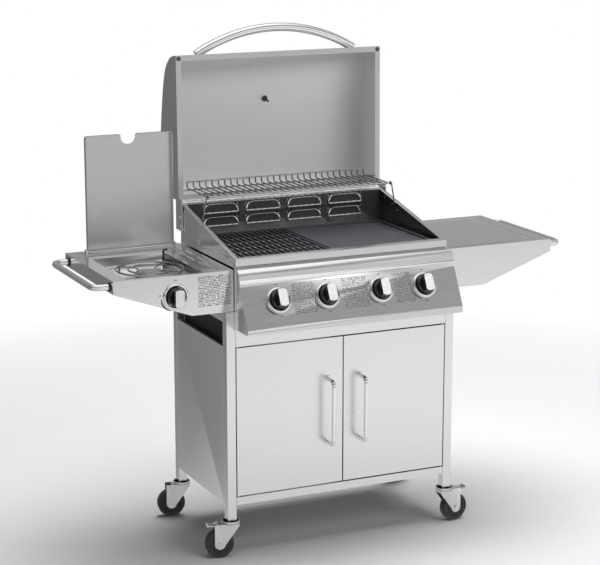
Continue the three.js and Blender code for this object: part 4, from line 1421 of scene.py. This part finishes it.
def make_pot_support(seat, floor):
    """Two wire rings on four bent arms."""
    low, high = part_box("side_burner_trivet")
    radius, top, wire = (high.x - low.x) / 2, high.z - floor, POT_SUPPORT["wire"]
    level = top - wire
    ring = bmesh.new()
    add_ring(ring, round_section(radius - wire, level, wire), 96, seat)
    inner = round_section(radius * POT_SUPPORT["inner"], level - 0.0004, wire * 0.85)
    add_ring(ring, inner, 72, seat)
    shaded_object(
        "pot_support_rings", ring, paint("black_trivet"), "cart",
        ["side_burner_trivet"],
    )
    arm = bmesh.new()
    start = POT_SUPPORT["arm_from"]
    corners = [
        Vector((start, 0, top - 0.011)), Vector((start + 0.006, 0, level)),
        Vector((radius - 0.004, 0, level)), Vector((radius - 0.003, 0, 0.0022)),
    ]
    add_tube(arm, bent_path(corners, POT_SUPPORT["bend"], 6), wire, 14)
    count = POT_SUPPORT["arms"]
    arms = grown(
        "pot_support_arms", arm, TREES["circle"], {"Count": count, "Step": 2 * math.pi / count},
        paint("black_trivet"),
    )
    arms.data.transform(seat @ Matrix.Rotation(math.pi / 4, 4, "Z"))
    hand_over(arms, "cart")


def make_igniter(floor):
    """An insulator with its electrode bent towards the burner, on a small bracket."""
    base = at(IGNITER["x"], IGNITER["y"], floor)
    height = IGNITER["height"]
    spark = bmesh.new()
    foot = Vector((0.005, 0.0045, 0))
    add_box(spark, base - foot + UP * 0.0002, base + foot + UP * 0.0022)
    corners = [
        base + UP * 0.002, base + UP * height, base + Vector((0.011, -0.003, height + 0.001))
    ]
    add_tube(spark, bent_path(corners, IGNITER["bend"], 6), IGNITER["wire"], 14)
    shaded_object("igniter", spark, paint("plastic"), "cart", (), 0.0003)


def make_side_lid():
    refined("side_burner_lid", paint("lid_steel"), 0.0005)


# ---------------------------------------------------------------- hood


HOOD = {"lean": 0.0156, "opening": 0.384, "flange": 0.015, "wall": 0.0016}
HOOD_CROWN = [
    (0.384, 0.0), (0.382, 0.020), (0.375, 0.044), (0.359, 0.066), (0.337, 0.083), (0.297, 0.098),
    (0.240, 0.111), (0.183, 0.121), (0.120, 0.129), (0.066, 0.132),
]
HOOD_HEEL = {"centre": (0.024, 0.109), "radius": 0.024}
BUMPER = [(0, 0), (0.0062, 0), (0.0062, 0.0010), (0.0050, 0.0022), (0, 0.0024)]
BUMPER_INSET = 0.008
# doubled sheet along the foot of each end panel, where the hinge pin passes
FOOT_PLATE = {"s": (0.0015, 0.0185), "t": (0.001, 0.0905), "x": (0.0001, 0.0008)}


def hood_place(x, s, t):
    """A place on the hood: s runs up the opening from the hinge, t runs back from it."""
    hinge, _ = joint_place("hood_hinge")
    lean = HOOD["lean"]
    return Vector((x, hinge.y + s * lean + t, hinge.z + s - t * lean))


def hood_outline():
    """The end panel's outline from the front edge, over the crown, to the hinge edge."""
    (a, b), radius = HOOD_HEEL["centre"], HOOD_HEEL["radius"]
    heel = [
        (a + radius * math.cos(turn), b + radius * math.sin(turn))
        for turn in (math.radians(96 + 84 * k / 9) for k in range(10))
    ]
    return [*smooth_through(HOOD_CROWN, 5), *heel, (0.0, 0.0)]


def make_hood():
    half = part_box("hood_shell")[1].x
    outline = hood_outline()
    flange, opening = HOOD["flange"], HOOD["opening"]
    shell = bmesh.new()
    left = [shell.verts.new(hood_place(-half, s, t)) for s, t in outline]
    right = [shell.verts.new(hood_place(half, s, t)) for s, t in outline]
    shell.faces.new(left)
    shell.faces.new(list(reversed(right)))
    for i in range(len(outline) - 1):
        shell.faces.new((left[i], right[i], right[i + 1], left[i + 1]))
    inner = [
        shell.verts.new(hood_place(x, s, 0))
        for x, s in ((-half + flange, opening - flange), (half - flange, opening - flange),
                     (half - flange, flange), (-half + flange, flange))
    ]
    outer = [left[0], right[0], right[-1], left[-1]]
    for k in range(4):
        shell.faces.new((outer[k], outer[(k + 1) % 4], inner[(k + 1) % 4], inner[k]))
    bmesh.ops.recalc_face_normals(shell, faces=shell.faces)
    middle = hood_place(0, 0.2, 0.05)
    crown_face = max(shell.faces, key=lambda f: f.calc_center_median().y)
    if (crown_face.calc_center_median() - middle).dot(crown_face.normal) < 0:
        bmesh.ops.reverse_faces(shell, faces=shell.faces)
    skins = [paint("hood_steel"), paint("hood_lining")]
    obj = plain_object("hood_skin", shell, skins, outward=False)
    wall = obj.modifiers.new("wall", "SOLIDIFY")
    wall.material_offset = 1
    wall.thickness = HOOD["wall"]
    wall.offset = -1
    wall.use_even_offset = True
    soften_edges(obj, 0.0005)
    hand_over(obj, "hood", ["hood_shell"])
    # rubber bumpers in the far corners of the mouth
    bumpers = bmesh.new()
    toward = (hood_place(0, 0, -1) - hood_place(0, 0, 0)).normalized()
    for _, sign in SIDES:
        place = hood_place(sign * (half - BUMPER_INSET), opening - BUMPER_INSET, 0)
        add_turned(bumpers, BUMPER, 28, standing(place, toward))
    shaded_object("hood_bumpers", bumpers, paint("bumper"), "hood")
    (s0, s1), (t0, t1) = FOOT_PLATE["s"], FOOT_PLATE["t"]
    for side, sign in SIDES:
        plate = bmesh.new()
        x0, x1 = sorted(sign * (half + proud) for proud in FOOT_PLATE["x"])
        foot = [(s0, t0), (s0, t1), (s1, t1), (s1, t0)]
        add_prism(plate, foot, x0, x1, lambda s, t, x: hood_place(x, s, t))
        shaded_object(
            f"hood_foot_plate_{side}", plate, paint("hood_steel"), "hood", (),
            0.0003,
        )


# the handle's arch: half its span and its rise; each end stops short by an angle
HANDLE = {"half_span": 0.235, "rise": 0.066, "short": 0.012}


def make_handle():
    low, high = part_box("hood_handle")
    radius = (high.y - low.y) / 2
    y = (low.y + high.y) / 2
    half_span, rise = HANDLE["half_span"], HANDLE["rise"]
    arc = (half_span**2 + rise**2) / (2 * rise)
    centre = high.z - radius - arc
    reach = math.asin(half_span / arc) - HANDLE["short"]
    path = [
        Vector((arc * math.sin(turn), y, centre + arc * math.cos(turn)))
        for turn in (reach * (k / 36 - 1) for k in range(73))
    ]
    bar = bmesh.new()
    add_tube(bar, path, radius, 36)
    shaded_object("hood_handle_tube", bar, paint("chrome"), "hood", ["hood_handle"])


DIAL = {"radius": 0.031, "s": 0.250, "sweep_from": -135, "needle_at": -120}
DIAL_RIM = [(0.0010, 0.0016), (0.0, 0.0040), (0.0, 0.0096), (0.0012, 0.0116), (0.0030, 0.0120),
            (0.0044, 0.0108), (0.0050, 0.0092)]
DIAL_PAPER = {"inset": 0.0052, "z": (0.0091, 0.0095)}
TICKS = {"count": 28, "step": 10}
TICK_BOX = [(0.0195, -0.0003, 0.0096), (0.0240, 0.0003, 0.0098)]
NEEDLE = [(-0.006, -0.0011), (-0.006, 0.0011), (0.018, 0.0003), (0.018, -0.0003)]
NEEDLE_HUB = [(0, 0.0097), (0.0026, 0.0097), (0.0026, 0.0108), (0, 0.0112)]
# what shows inside the hood: washer, nut and stem
WASHER = [(0, -0.0020), (0.0085, -0.0020), (0.0085, -0.0028), (0, -0.0028)]
STEM_NUT = {"radius": 0.0062, "z": (-0.0075, -0.0029)}
STEM = [(0, -0.0290), (0.0020, -0.0290), (0.0026, -0.0270), (0.0026, -0.0076), (0, -0.0076)]


def make_thermometer():
    crown = smooth_through(HOOD_CROWN, 5)
    i = next(k for k, (s, _) in enumerate(crown) if s < DIAL["s"])
    a, b = hood_place(0, *crown[i - 1]), hood_place(0, *crown[i])
    along = (b - a).normalized()
    out = Vector((0, -along.z, along.y))
    if out.y < 0:
        out.negate()
    seat = standing(a.lerp(b, 0.5), out, "X")
    radius = DIAL["radius"]
    case = bmesh.new()
    rim = [(radius - inset, z) for inset, z in DIAL_RIM]
    add_turned(case, [(0, 0.0002), (radius - 0.004, 0.0002), *rim, (0, 0.0090)], 72, seat)
    shaded_object("thermometer_case", case, paint("chrome"), "hood", ["thermometer"])
    face = bmesh.new()
    edge, (under, over) = radius - DIAL_PAPER["inset"], DIAL_PAPER["z"]
    add_turned(face, [(0, under), (edge, under), (edge, over), (0, over)], 64, seat)
    shaded_object("thermometer_face", face, paint("dial"), "hood")
    tick = bmesh.new()
    add_box(tick, *TICK_BOX)
    ticks = grown(
        "thermometer_ticks", tick, TREES["circle"],
        {"Count": TICKS["count"], "Step": math.radians(TICKS["step"])}, paint("ink"),
    )
    ticks.data.transform(seat @ Matrix.Rotation(math.radians(DIAL["sweep_from"]), 4, "Z"))
    hand_over(ticks, "hood")
    needle = bmesh.new()
    spin = seat @ Matrix.Rotation(math.radians(DIAL["needle_at"]), 4, "Z")
    add_prism(needle, NEEDLE, 0.0099, 0.0103, laid_on(spin))
    add_turned(needle, NEEDLE_HUB, 24, seat)
    shaded_object("thermometer_needle", needle, paint("ink"), "hood")
    nut = bmesh.new()
    add_turned(nut, WASHER, 36, seat)
    add_prism(nut, hexagon(STEM_NUT["radius"]), *STEM_NUT["z"], laid_on(seat))
    add_turned(nut, STEM, 20, seat)
    shaded_object("thermometer_nut", nut, paint("bumper"), "hood")


HINGE_BOLTS = {"y": 0.009, "z": (0.012, 0.036)}
# the rail behind the firebox that closes the slot under the open hood, from the hinge's axis
HOOD_RAIL = {"before": 0.0135, "behind": 0.0145, "drop": 0.0037, "thickness": 0.0030}
RAIL_SCREWS = {"x": (-0.235, -0.118, 0.0, 0.118, 0.235), "before": 0.0070}


def make_hood_hinges():
    for side, _ in SIDES:
        refined(f"hood_hinge_{side}", paint("zinc"), 0.0008)
    spots = []
    for side, sign in SIDES:
        low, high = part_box(f"hood_hinge_{side}")
        face = high.x if sign > 0 else low.x
        for z in HINGE_BOLTS["z"]:
            place = Vector((face, low.y + HINGE_BOLTS["y"], low.z + z))
            spots.append((place, Vector((sign, 0, 0))))
    screws("hinge_bolts", spots)
    hinge, _ = joint_place("hood_hinge")
    half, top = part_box("hood_hinge_right")[0].x - 0.001, hinge.z - HOOD_RAIL["drop"]
    rail = bmesh.new()
    add_box(
        rail, (-half, hinge.y - HOOD_RAIL["before"], top - HOOD_RAIL["thickness"]),
        (half, hinge.y + HOOD_RAIL["behind"], top),
    )
    shaded_object("hood_rail", rail, paint("silver"), "cart", (), 0.0004)
    y = hinge.y - RAIL_SCREWS["before"]
    screws("rail_screws", [(Vector((x, y, top)), UP) for x in RAIL_SCREWS["x"]])


# ---------------------------------------------------------------- warming rack


RACK = {"half": 0.265, "bend": 0.008, "rod": 1.25, "middle_rod": 0.330, "front_over": 0.003}
RACK_EYE = {"radius": 0.0040, "wire": 0.0013, "out": 0.0020}
RACK_LEG = {"head": 0.2705, "wire": 0.0020}


def make_warming_rack():
    sizes = bpy.context.scene.grill_cooking
    low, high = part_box("warming_rack")
    wire = sizes.rack_wire
    pivot, _ = joint_place("rack_pivot")
    half = RACK["half"]
    front, rear = low.y + wire, high.y - wire
    z, top = pivot.z, high.z - wire
    first, step = -half + wire, 2 * (half - wire) / (sizes.rack_wires - 1)
    corners = [Vector((first, front, z)), Vector((first, rear, z)), Vector((first, rear, top))]
    ell = bmesh.new()
    add_tube(ell, bent_path(corners, RACK["bend"], 6), wire, 10)
    wires = grown(
        "rack_wires", ell, TREES["rows"], rows_of(sizes.rack_wires, (step, 0, 0)), paint("wire")
    )
    hand_over(wires, "warming_rack", ["warming_rack"])
    rods = bmesh.new()
    below = z - 2 * wire
    runs = (
        (half + RACK["front_over"], front, z), (half, rear, top),
        (half, CABINET_FRONT + RACK["middle_rod"], below), (high.x, pivot.y, below),
    )
    for reach, y, height in runs:
        ends = [Vector((-reach, y, height)), Vector((reach, y, height))]
        add_tube(rods, ends, wire * RACK["rod"], 14)
    shaded_object("rack_rods", rods, paint("rod"), "warming_rack")
    eyes = bmesh.new()
    section = round_section(RACK_EYE["radius"], 0.0, RACK_EYE["wire"], 10)
    for _, sign in SIDES:
        place = Matrix.Translation((sign * (half + RACK_EYE["out"]), front, z))
        add_ring(eyes, section, 24, place @ Matrix.Rotation(math.pi / 2, 4, "Y"))
    shaded_object("rack_eyes", eyes, paint("wire"), "warming_rack")
    for side, sign in SIDES:
        foot, _ = joint_place(f"rack_leg_{side}_pivot")
        low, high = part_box(f"rack_leg_{side}")
        reach = high.x if sign > 0 else low.x
        head = Vector((sign * RACK_LEG["head"], front, high.z - 0.0005))
        path = bent_path([head, foot, Vector((reach, foot.y, foot.z))], 0.002, 6)
        leg = bmesh.new()
        add_tube(leg, path, RACK_LEG["wire"], 14)
        shaded_object(
            f"rack_leg_{side}_wire", leg, paint("leg_wire"), f"rack_leg_{side}",
            [f"rack_leg_{side}"],
        )


# ---------------------------------------------------------------- casters


WHEEL = {"radius": 0.0375, "half_width": 0.012}
CASTER_NUT = {"radius": 0.0062, "gap": 0.0033, "height": 0.0037}
# the turned race under a leg: radius, and depth below the leg
RACE = [
    (0.0060, 0.0004), (0.0225, 0.0004), (0.0235, 0.0018), (0.0235, 0.0034), (0.0205, 0.0044),
    (0.0205, 0.0062), (0.0232, 0.0072), (0.0232, 0.0092), (0.0212, 0.0104), (0.0060, 0.0104),
]
# half of a wheel's section: radius, and depth below the side face
WHEEL_SIDE = [
    (0.0046, 0.0), (0.0115, 0.0), (0.0125, 0.0012), (0.0240, 0.0032), (0.0262, 0.0010),
    (0.0335, 0.0), (0.0362, 0.0014), (WHEEL["radius"], 0.0045),
]


def make_casters():
    for side, _ in SIDES:
        for end in ENDS:
            make_caster(side, end)
        refined(f"caster_brake_{side}", paint("zinc"), 0.0007)


def make_caster(side, end):
    refined(f"caster_fork_{end}_{side}", paint("zinc"), 0.0006)
    body = f"caster_{end}_{side}"
    swivel, _ = joint_place(f"caster_{end}_{side}_swivel")
    hub, axis = joint_place(f"wheel_{end}_{side}_roll")
    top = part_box(f"leg_{end}_{side}")[0].z
    race = bmesh.new()
    section = [(radius, top - depth) for radius, depth in RACE]
    add_ring(race, section, 56, Matrix.Translation((swivel.x, swivel.y, 0)))
    shaded_object(f"caster_race_{end}_{side}", race, paint("zinc"), body)
    turn = standing(hub, axis, "X")
    half = WHEEL["half_width"]
    wheel = bmesh.new()
    profile = [(radius, depth - half) for radius, depth in WHEEL_SIDE]
    profile += [(radius, half - depth) for radius, depth in reversed(WHEEL_SIDE)]
    add_ring(wheel, profile, 80, turn)
    shaded_object(
        f"caster_tyre_{end}_{side}", wheel, paint("tyre"), f"wheel_{end}_{side}",
        [f"caster_wheel_{end}_{side}"],
    )
    nuts = bmesh.new()
    inner = half + CASTER_NUT["gap"]
    for _, sign in SIDES:
        low, high = sorted((sign * inner, sign * (inner + CASTER_NUT["height"])))
        add_prism(nuts, hexagon(CASTER_NUT["radius"]), low, high, laid_on(turn))
    shaded_object(f"caster_nuts_{end}_{side}", nuts, paint("zinc"), body, (), 0.0005)


# ---------------------------------------------------------------- studio


KEY_LIGHT = {"place": (0.45, 0.25, 3.6), "target": (0.1, -0.1, 0.2), "size": (2.8, 2.8)}
FILL_LIGHT = {"place": (1.6, -3.6, 3.2), "target": (0, 0, 0.7), "size": (2.4, 1.6)}
FILL_SHARE = 0.2
CAMERA = {
    "target": Vector((-0.0369, -0.0272, 0.6606)), "back": Vector((-0.4094, -0.8848, 0.2226)),
    "distance": 5.0016, "sensor": 36.0,
}
FLOOR_RADIUS = 60.0


def studio_world():
    """White surroundings; what they give back to the steel is darker to the left and behind,
    with a bright ceiling and a bright card low in front."""
    world = bpy.data.worlds.new("Studio")
    bpy.context.scene.world = world
    world.use_nodes = True
    world.node_tree.nodes.clear()
    net = Net(world.node_tree)
    direction = net.add("ShaderNodeSeparateXYZ", {}, net.add("ShaderNodeTexCoord").of("Generated"))
    side = (direction.of("X") * 0.5 + 0.5).clamped()
    depth = (0.5 - direction.of("Y") * 0.5).clamped()
    height = direction.of("Z").clamped()
    ceiling = ((height - 0.74) * 6.0).clamped()
    ahead = (direction.of("Y") * -2.0 - 0.4).clamped()
    card = (1.0 - (height - 0.25).math("ABSOLUTE") * 6.0).clamped() * ahead
    shadow = (1.0 - (height - 0.57).math("ABSOLUTE") * 5.0).clamped() * ahead
    room = 0.10 + side * 0.34 + depth * 0.10 + height * 0.10
    mirrored = room + ceiling * 0.8 + card * 1.1 - shadow * 0.27
    path = net.add("ShaderNodeLightPath")
    glossy = path.of("Is Glossy Ray")
    seen = path.of("Is Camera Ray")
    strength = (1.0 - glossy) * (0.14 + seen * 0.86) + glossy * mirrored
    light = net.add("ShaderNodeBackground", {}, Color=(1, 1, 1, 1), Strength=strength)
    net.add("ShaderNodeOutputWorld", {}, Surface=light)


def studio_floor():
    """A pale floor that fades to white; to the steel it glows with its own light, darker behind
    and to the left: a painted reflection.
    """
    shape = bmesh.new()
    bmesh.ops.create_circle(shape, cap_ends=True, segments=96, radius=FLOOR_RADIUS)
    material, net, place = new_material("Studio floor")
    mottle = noise(net, place, 1.3, 3.0)
    base = net.mixed(mottle, (0.45, 0.45, 0.455), (0.475, 0.475, 0.475))
    shader = net.add("ShaderNodeBsdfPrincipled", {}, Base_Color=base, Roughness=0.75)
    spot = net.add("ShaderNodeSeparateXYZ", {}, place)
    # painted reflection: for mirrored rays the floor glows, brighter in front and to the right and
    # dimmer far ahead
    front = ((0.6 - spot.of("Y")) * 0.55).clamped()
    beyond = ((spot.of("Y") * -1.0 - 2.3) * 0.6).clamped()
    right = ((spot.of("X") + 1.4) * 0.45).clamped()
    returned = (0.2 + right * 0.28 + front * 0.54 - beyond * 0.42).clamped()
    given = net.add("ShaderNodeEmission", {}, Strength=returned)
    reach = net.add("ShaderNodeVectorMath", {"operation": "LENGTH"}, place).of("Value")
    away = ((reach - 1.15) * 0.8).clamped()
    far = net.add("ShaderNodeEmission", {}, Strength=1.0)
    faded = net.add("ShaderNodeMixShader", {}, away, shader, far)
    seen = net.add("ShaderNodeLightPath").of("Is Glossy Ray")
    mixed = net.add("ShaderNodeMixShader", {}, seen, faded, given)
    net.add("ShaderNodeOutputMaterial", {}, Surface=mixed)
    floor = plain_object("studio_floor", shape, material, outward=False)


def area_light(name, place, target, size, power):
    """A soft rectangular light that polished metal doesn't mirror."""
    lamp = bpy.data.lights.new(name, "AREA")
    lamp.shape = "RECTANGLE"
    lamp.size, lamp.size_y = size
    lamp.energy = power
    obj = bpy.data.objects.new(name, lamp)
    obj.location = place
    obj.rotation_euler = (Vector(target) - Vector(place)).to_track_quat("-Z", "Y").to_euler()
    obj.visible_glossy = False
    bpy.context.scene.collection.objects.link(obj)


def make_studio():
    settings = bpy.context.scene.grill_studio
    studio_world()
    studio_floor()
    area_light("key", power=settings.light, **KEY_LIGHT)
    area_light("fill", power=settings.light * FILL_SHARE, **FILL_LIGHT)
    camera = bpy.data.cameras.new("camera")
    camera.sensor_width = CAMERA["sensor"]
    camera.lens = settings.lens
    obj = bpy.data.objects.new("camera", camera)
    back = CAMERA["back"].normalized()
    obj.location = CAMERA["target"] + back * CAMERA["distance"]
    obj.rotation_euler = (-back).to_track_quat("-Z", "Y").to_euler()
    bpy.context.scene.collection.objects.link(obj)
    bpy.context.scene.camera = obj
    bpy.context.scene.view_settings.view_transform = "Standard"


# ---------------------------------------------------------------- operators, panel and start


class GRILL_OT_cart_frame(bpy.types.Operator):
    """Builds the legs, rails, side sheets, floor and back of the cabinet"""

    bl_idname = "grill.cart_frame"
    bl_label = "Cart Frame"

    def execute(self, context):
        make_cart_frame()
        return {"FINISHED"}


class GRILL_OT_doors(bpy.types.Operator):
    """Builds both doors with their handles"""

    bl_idname = "grill.doors"
    bl_label = "Doors"

    def execute(self, context):
        make_doors()
        return {"FINISHED"}


class GRILL_OT_firebox(bpy.types.Operator):
    """Builds the firebox with its louvres and screws"""

    bl_idname = "grill.firebox"
    bl_label = "Firebox"

    def execute(self, context):
        make_firebox()
        return {"FINISHED"}


class GRILL_OT_burners(bpy.types.Operator):
    """Builds the burner tubes and the flame tamers over them"""

    bl_idname = "grill.burners"
    bl_label = "Burners"

    def execute(self, context):
        make_burners()
        return {"FINISHED"}


class GRILL_OT_grate(bpy.types.Operator):
    """Builds the cast grate from its bars"""

    bl_idname = "grill.grate"
    bl_label = "Grill Grate"

    def execute(self, context):
        make_grate()
        return {"FINISHED"}


class GRILL_OT_griddle(bpy.types.Operator):
    """Builds the cast griddle plate"""

    bl_idname = "grill.griddle"
    bl_label = "Griddle Plate"

    def execute(self, context):
        make_griddle()
        return {"FINISHED"}


class GRILL_OT_grease_tray(bpy.types.Operator):
    """Builds the sliding grease tray"""

    bl_idname = "grill.grease_tray"
    bl_label = "Grease Tray"

    def execute(self, context):
        make_grease_tray()
        return {"FINISHED"}


class GRILL_OT_control_panel(bpy.types.Operator):
    """Builds the control panel, its bezels and its printing"""

    bl_idname = "grill.control_panel"
    bl_label = "Control Panel"

    def execute(self, context):
        make_control_panel()
        return {"FINISHED"}


class GRILL_OT_gas_train(bpy.types.Operator):
    """Builds the manifold and the side burner's valve"""

    bl_idname = "grill.gas_train"
    bl_label = "Gas Train"

    def execute(self, context):
        make_gas_train()
        return {"FINISHED"}


class GRILL_OT_knobs(bpy.types.Operator):
    """Builds the five control knobs"""

    bl_idname = "grill.knobs"
    bl_label = "Knobs"

    def execute(self, context):
        make_knobs()
        return {"FINISHED"}


class GRILL_OT_burner_table(bpy.types.Operator):
    """Builds the table round the side burner"""

    bl_idname = "grill.burner_table"
    bl_label = "Side Burner Table"

    def execute(self, context):
        make_burner_table()
        return {"FINISHED"}


class GRILL_OT_side_shelf(bpy.types.Operator):
    """Builds the shelf on the other side"""

    bl_idname = "grill.side_shelf"
    bl_label = "Side Shelf"

    def execute(self, context):
        make_side_shelf()
        return {"FINISHED"}


class GRILL_OT_towel_bars(bpy.types.Operator):
    """Builds the bar at the end of each table"""

    bl_idname = "grill.towel_bars"
    bl_label = "Towel Bars"

    def execute(self, context):
        make_towel_bars()
        return {"FINISHED"}


class GRILL_OT_side_burner(bpy.types.Operator):
    """Builds the side burner, its pot support and its igniter"""

    bl_idname = "grill.side_burner"
    bl_label = "Side Burner"

    def execute(self, context):
        make_side_burner()
        return {"FINISHED"}


class GRILL_OT_side_lid(bpy.types.Operator):
    """Builds the lid of the side burner"""

    bl_idname = "grill.side_lid"
    bl_label = "Side Burner Lid"

    def execute(self, context):
        make_side_lid()
        return {"FINISHED"}


class GRILL_OT_hood(bpy.types.Operator):
    """Builds the hood shell with its bumpers and foot plates"""

    bl_idname = "grill.hood"
    bl_label = "Hood"

    def execute(self, context):
        make_hood()
        return {"FINISHED"}


class GRILL_OT_handle(bpy.types.Operator):
    """Builds the arched handle of the hood"""

    bl_idname = "grill.handle"
    bl_label = "Hood Handle"

    def execute(self, context):
        make_handle()
        return {"FINISHED"}


class GRILL_OT_thermometer(bpy.types.Operator):
    """Builds the dial thermometer in the hood"""

    bl_idname = "grill.thermometer"
    bl_label = "Thermometer"

    def execute(self, context):
        make_thermometer()
        return {"FINISHED"}


class GRILL_OT_hood_hinges(bpy.types.Operator):
    """Builds the hinge brackets of the hood"""

    bl_idname = "grill.hood_hinges"
    bl_label = "Hood Hinges"

    def execute(self, context):
        make_hood_hinges()
        return {"FINISHED"}


class GRILL_OT_warming_rack(bpy.types.Operator):
    """Builds the warming rack and its swinging legs"""

    bl_idname = "grill.warming_rack"
    bl_label = "Warming Rack"

    def execute(self, context):
        make_warming_rack()
        return {"FINISHED"}


class GRILL_OT_casters(bpy.types.Operator):
    """Builds the four casters"""

    bl_idname = "grill.casters"
    bl_label = "Casters"

    def execute(self, context):
        make_casters()
        return {"FINISHED"}


class GRILL_OT_studio(bpy.types.Operator):
    """Builds the floor, the lights and the camera"""

    bl_idname = "grill.studio"
    bl_label = "Studio"

    def execute(self, context):
        make_studio()
        return {"FINISHED"}


class GRILL_PT_sidebar(bpy.types.Panel):
    """Lists the settings and the pieces of the grill."""

    bl_label = "Gas Barbecue Grill"
    bl_space_type = "VIEW_3D"
    bl_region_type = "UI"
    bl_category = "Grill"

    def draw(self, context):
        for name in SETTINGS:
            box = self.layout.box()
            group = getattr(context.scene, name)
            for key in group.__annotations__:
                box.prop(group, key)
        column = self.layout.column(align=True)
        for operator in OPERATORS:
            column.operator(operator.bl_idname)


SETTINGS = {
    "grill_finish": GrillFinish,
    "grill_knobs": GrillKnobSizes,
    "grill_cooking": GrillCookingSizes,
    "grill_studio": GrillStudio,
}
OPERATORS = (
    GRILL_OT_cart_frame,
    GRILL_OT_doors,
    GRILL_OT_firebox,
    GRILL_OT_burners,
    GRILL_OT_grate,
    GRILL_OT_griddle,
    GRILL_OT_grease_tray,
    GRILL_OT_control_panel,
    GRILL_OT_gas_train,
    GRILL_OT_knobs,
    GRILL_OT_burner_table,
    GRILL_OT_side_shelf,
    GRILL_OT_towel_bars,
    GRILL_OT_side_burner,
    GRILL_OT_side_lid,
    GRILL_OT_hood,
    GRILL_OT_handle,
    GRILL_OT_thermometer,
    GRILL_OT_hood_hinges,
    GRILL_OT_warming_rack,
    GRILL_OT_casters,
    GRILL_OT_studio,
)


def register():
    for cls in (*SETTINGS.values(), *OPERATORS, GRILL_PT_sidebar):
        bpy.utils.register_class(cls)
    for name, cls in SETTINGS.items():
        setattr(bpy.types.Scene, name, PointerProperty(type=cls))


def unregister():
    for name in SETTINGS:
        delattr(bpy.types.Scene, name)
    for cls in (GRILL_PT_sidebar, *reversed(OPERATORS), *SETTINGS.values()):
        bpy.utils.unregister_class(cls)


def main():
    """Builds every piece and the studio."""
    register()
    for operator in OPERATORS:
        getattr(bpy.ops.grill, operator.bl_idname.split(".")[1])()


if __name__ == "__main__":
    main()
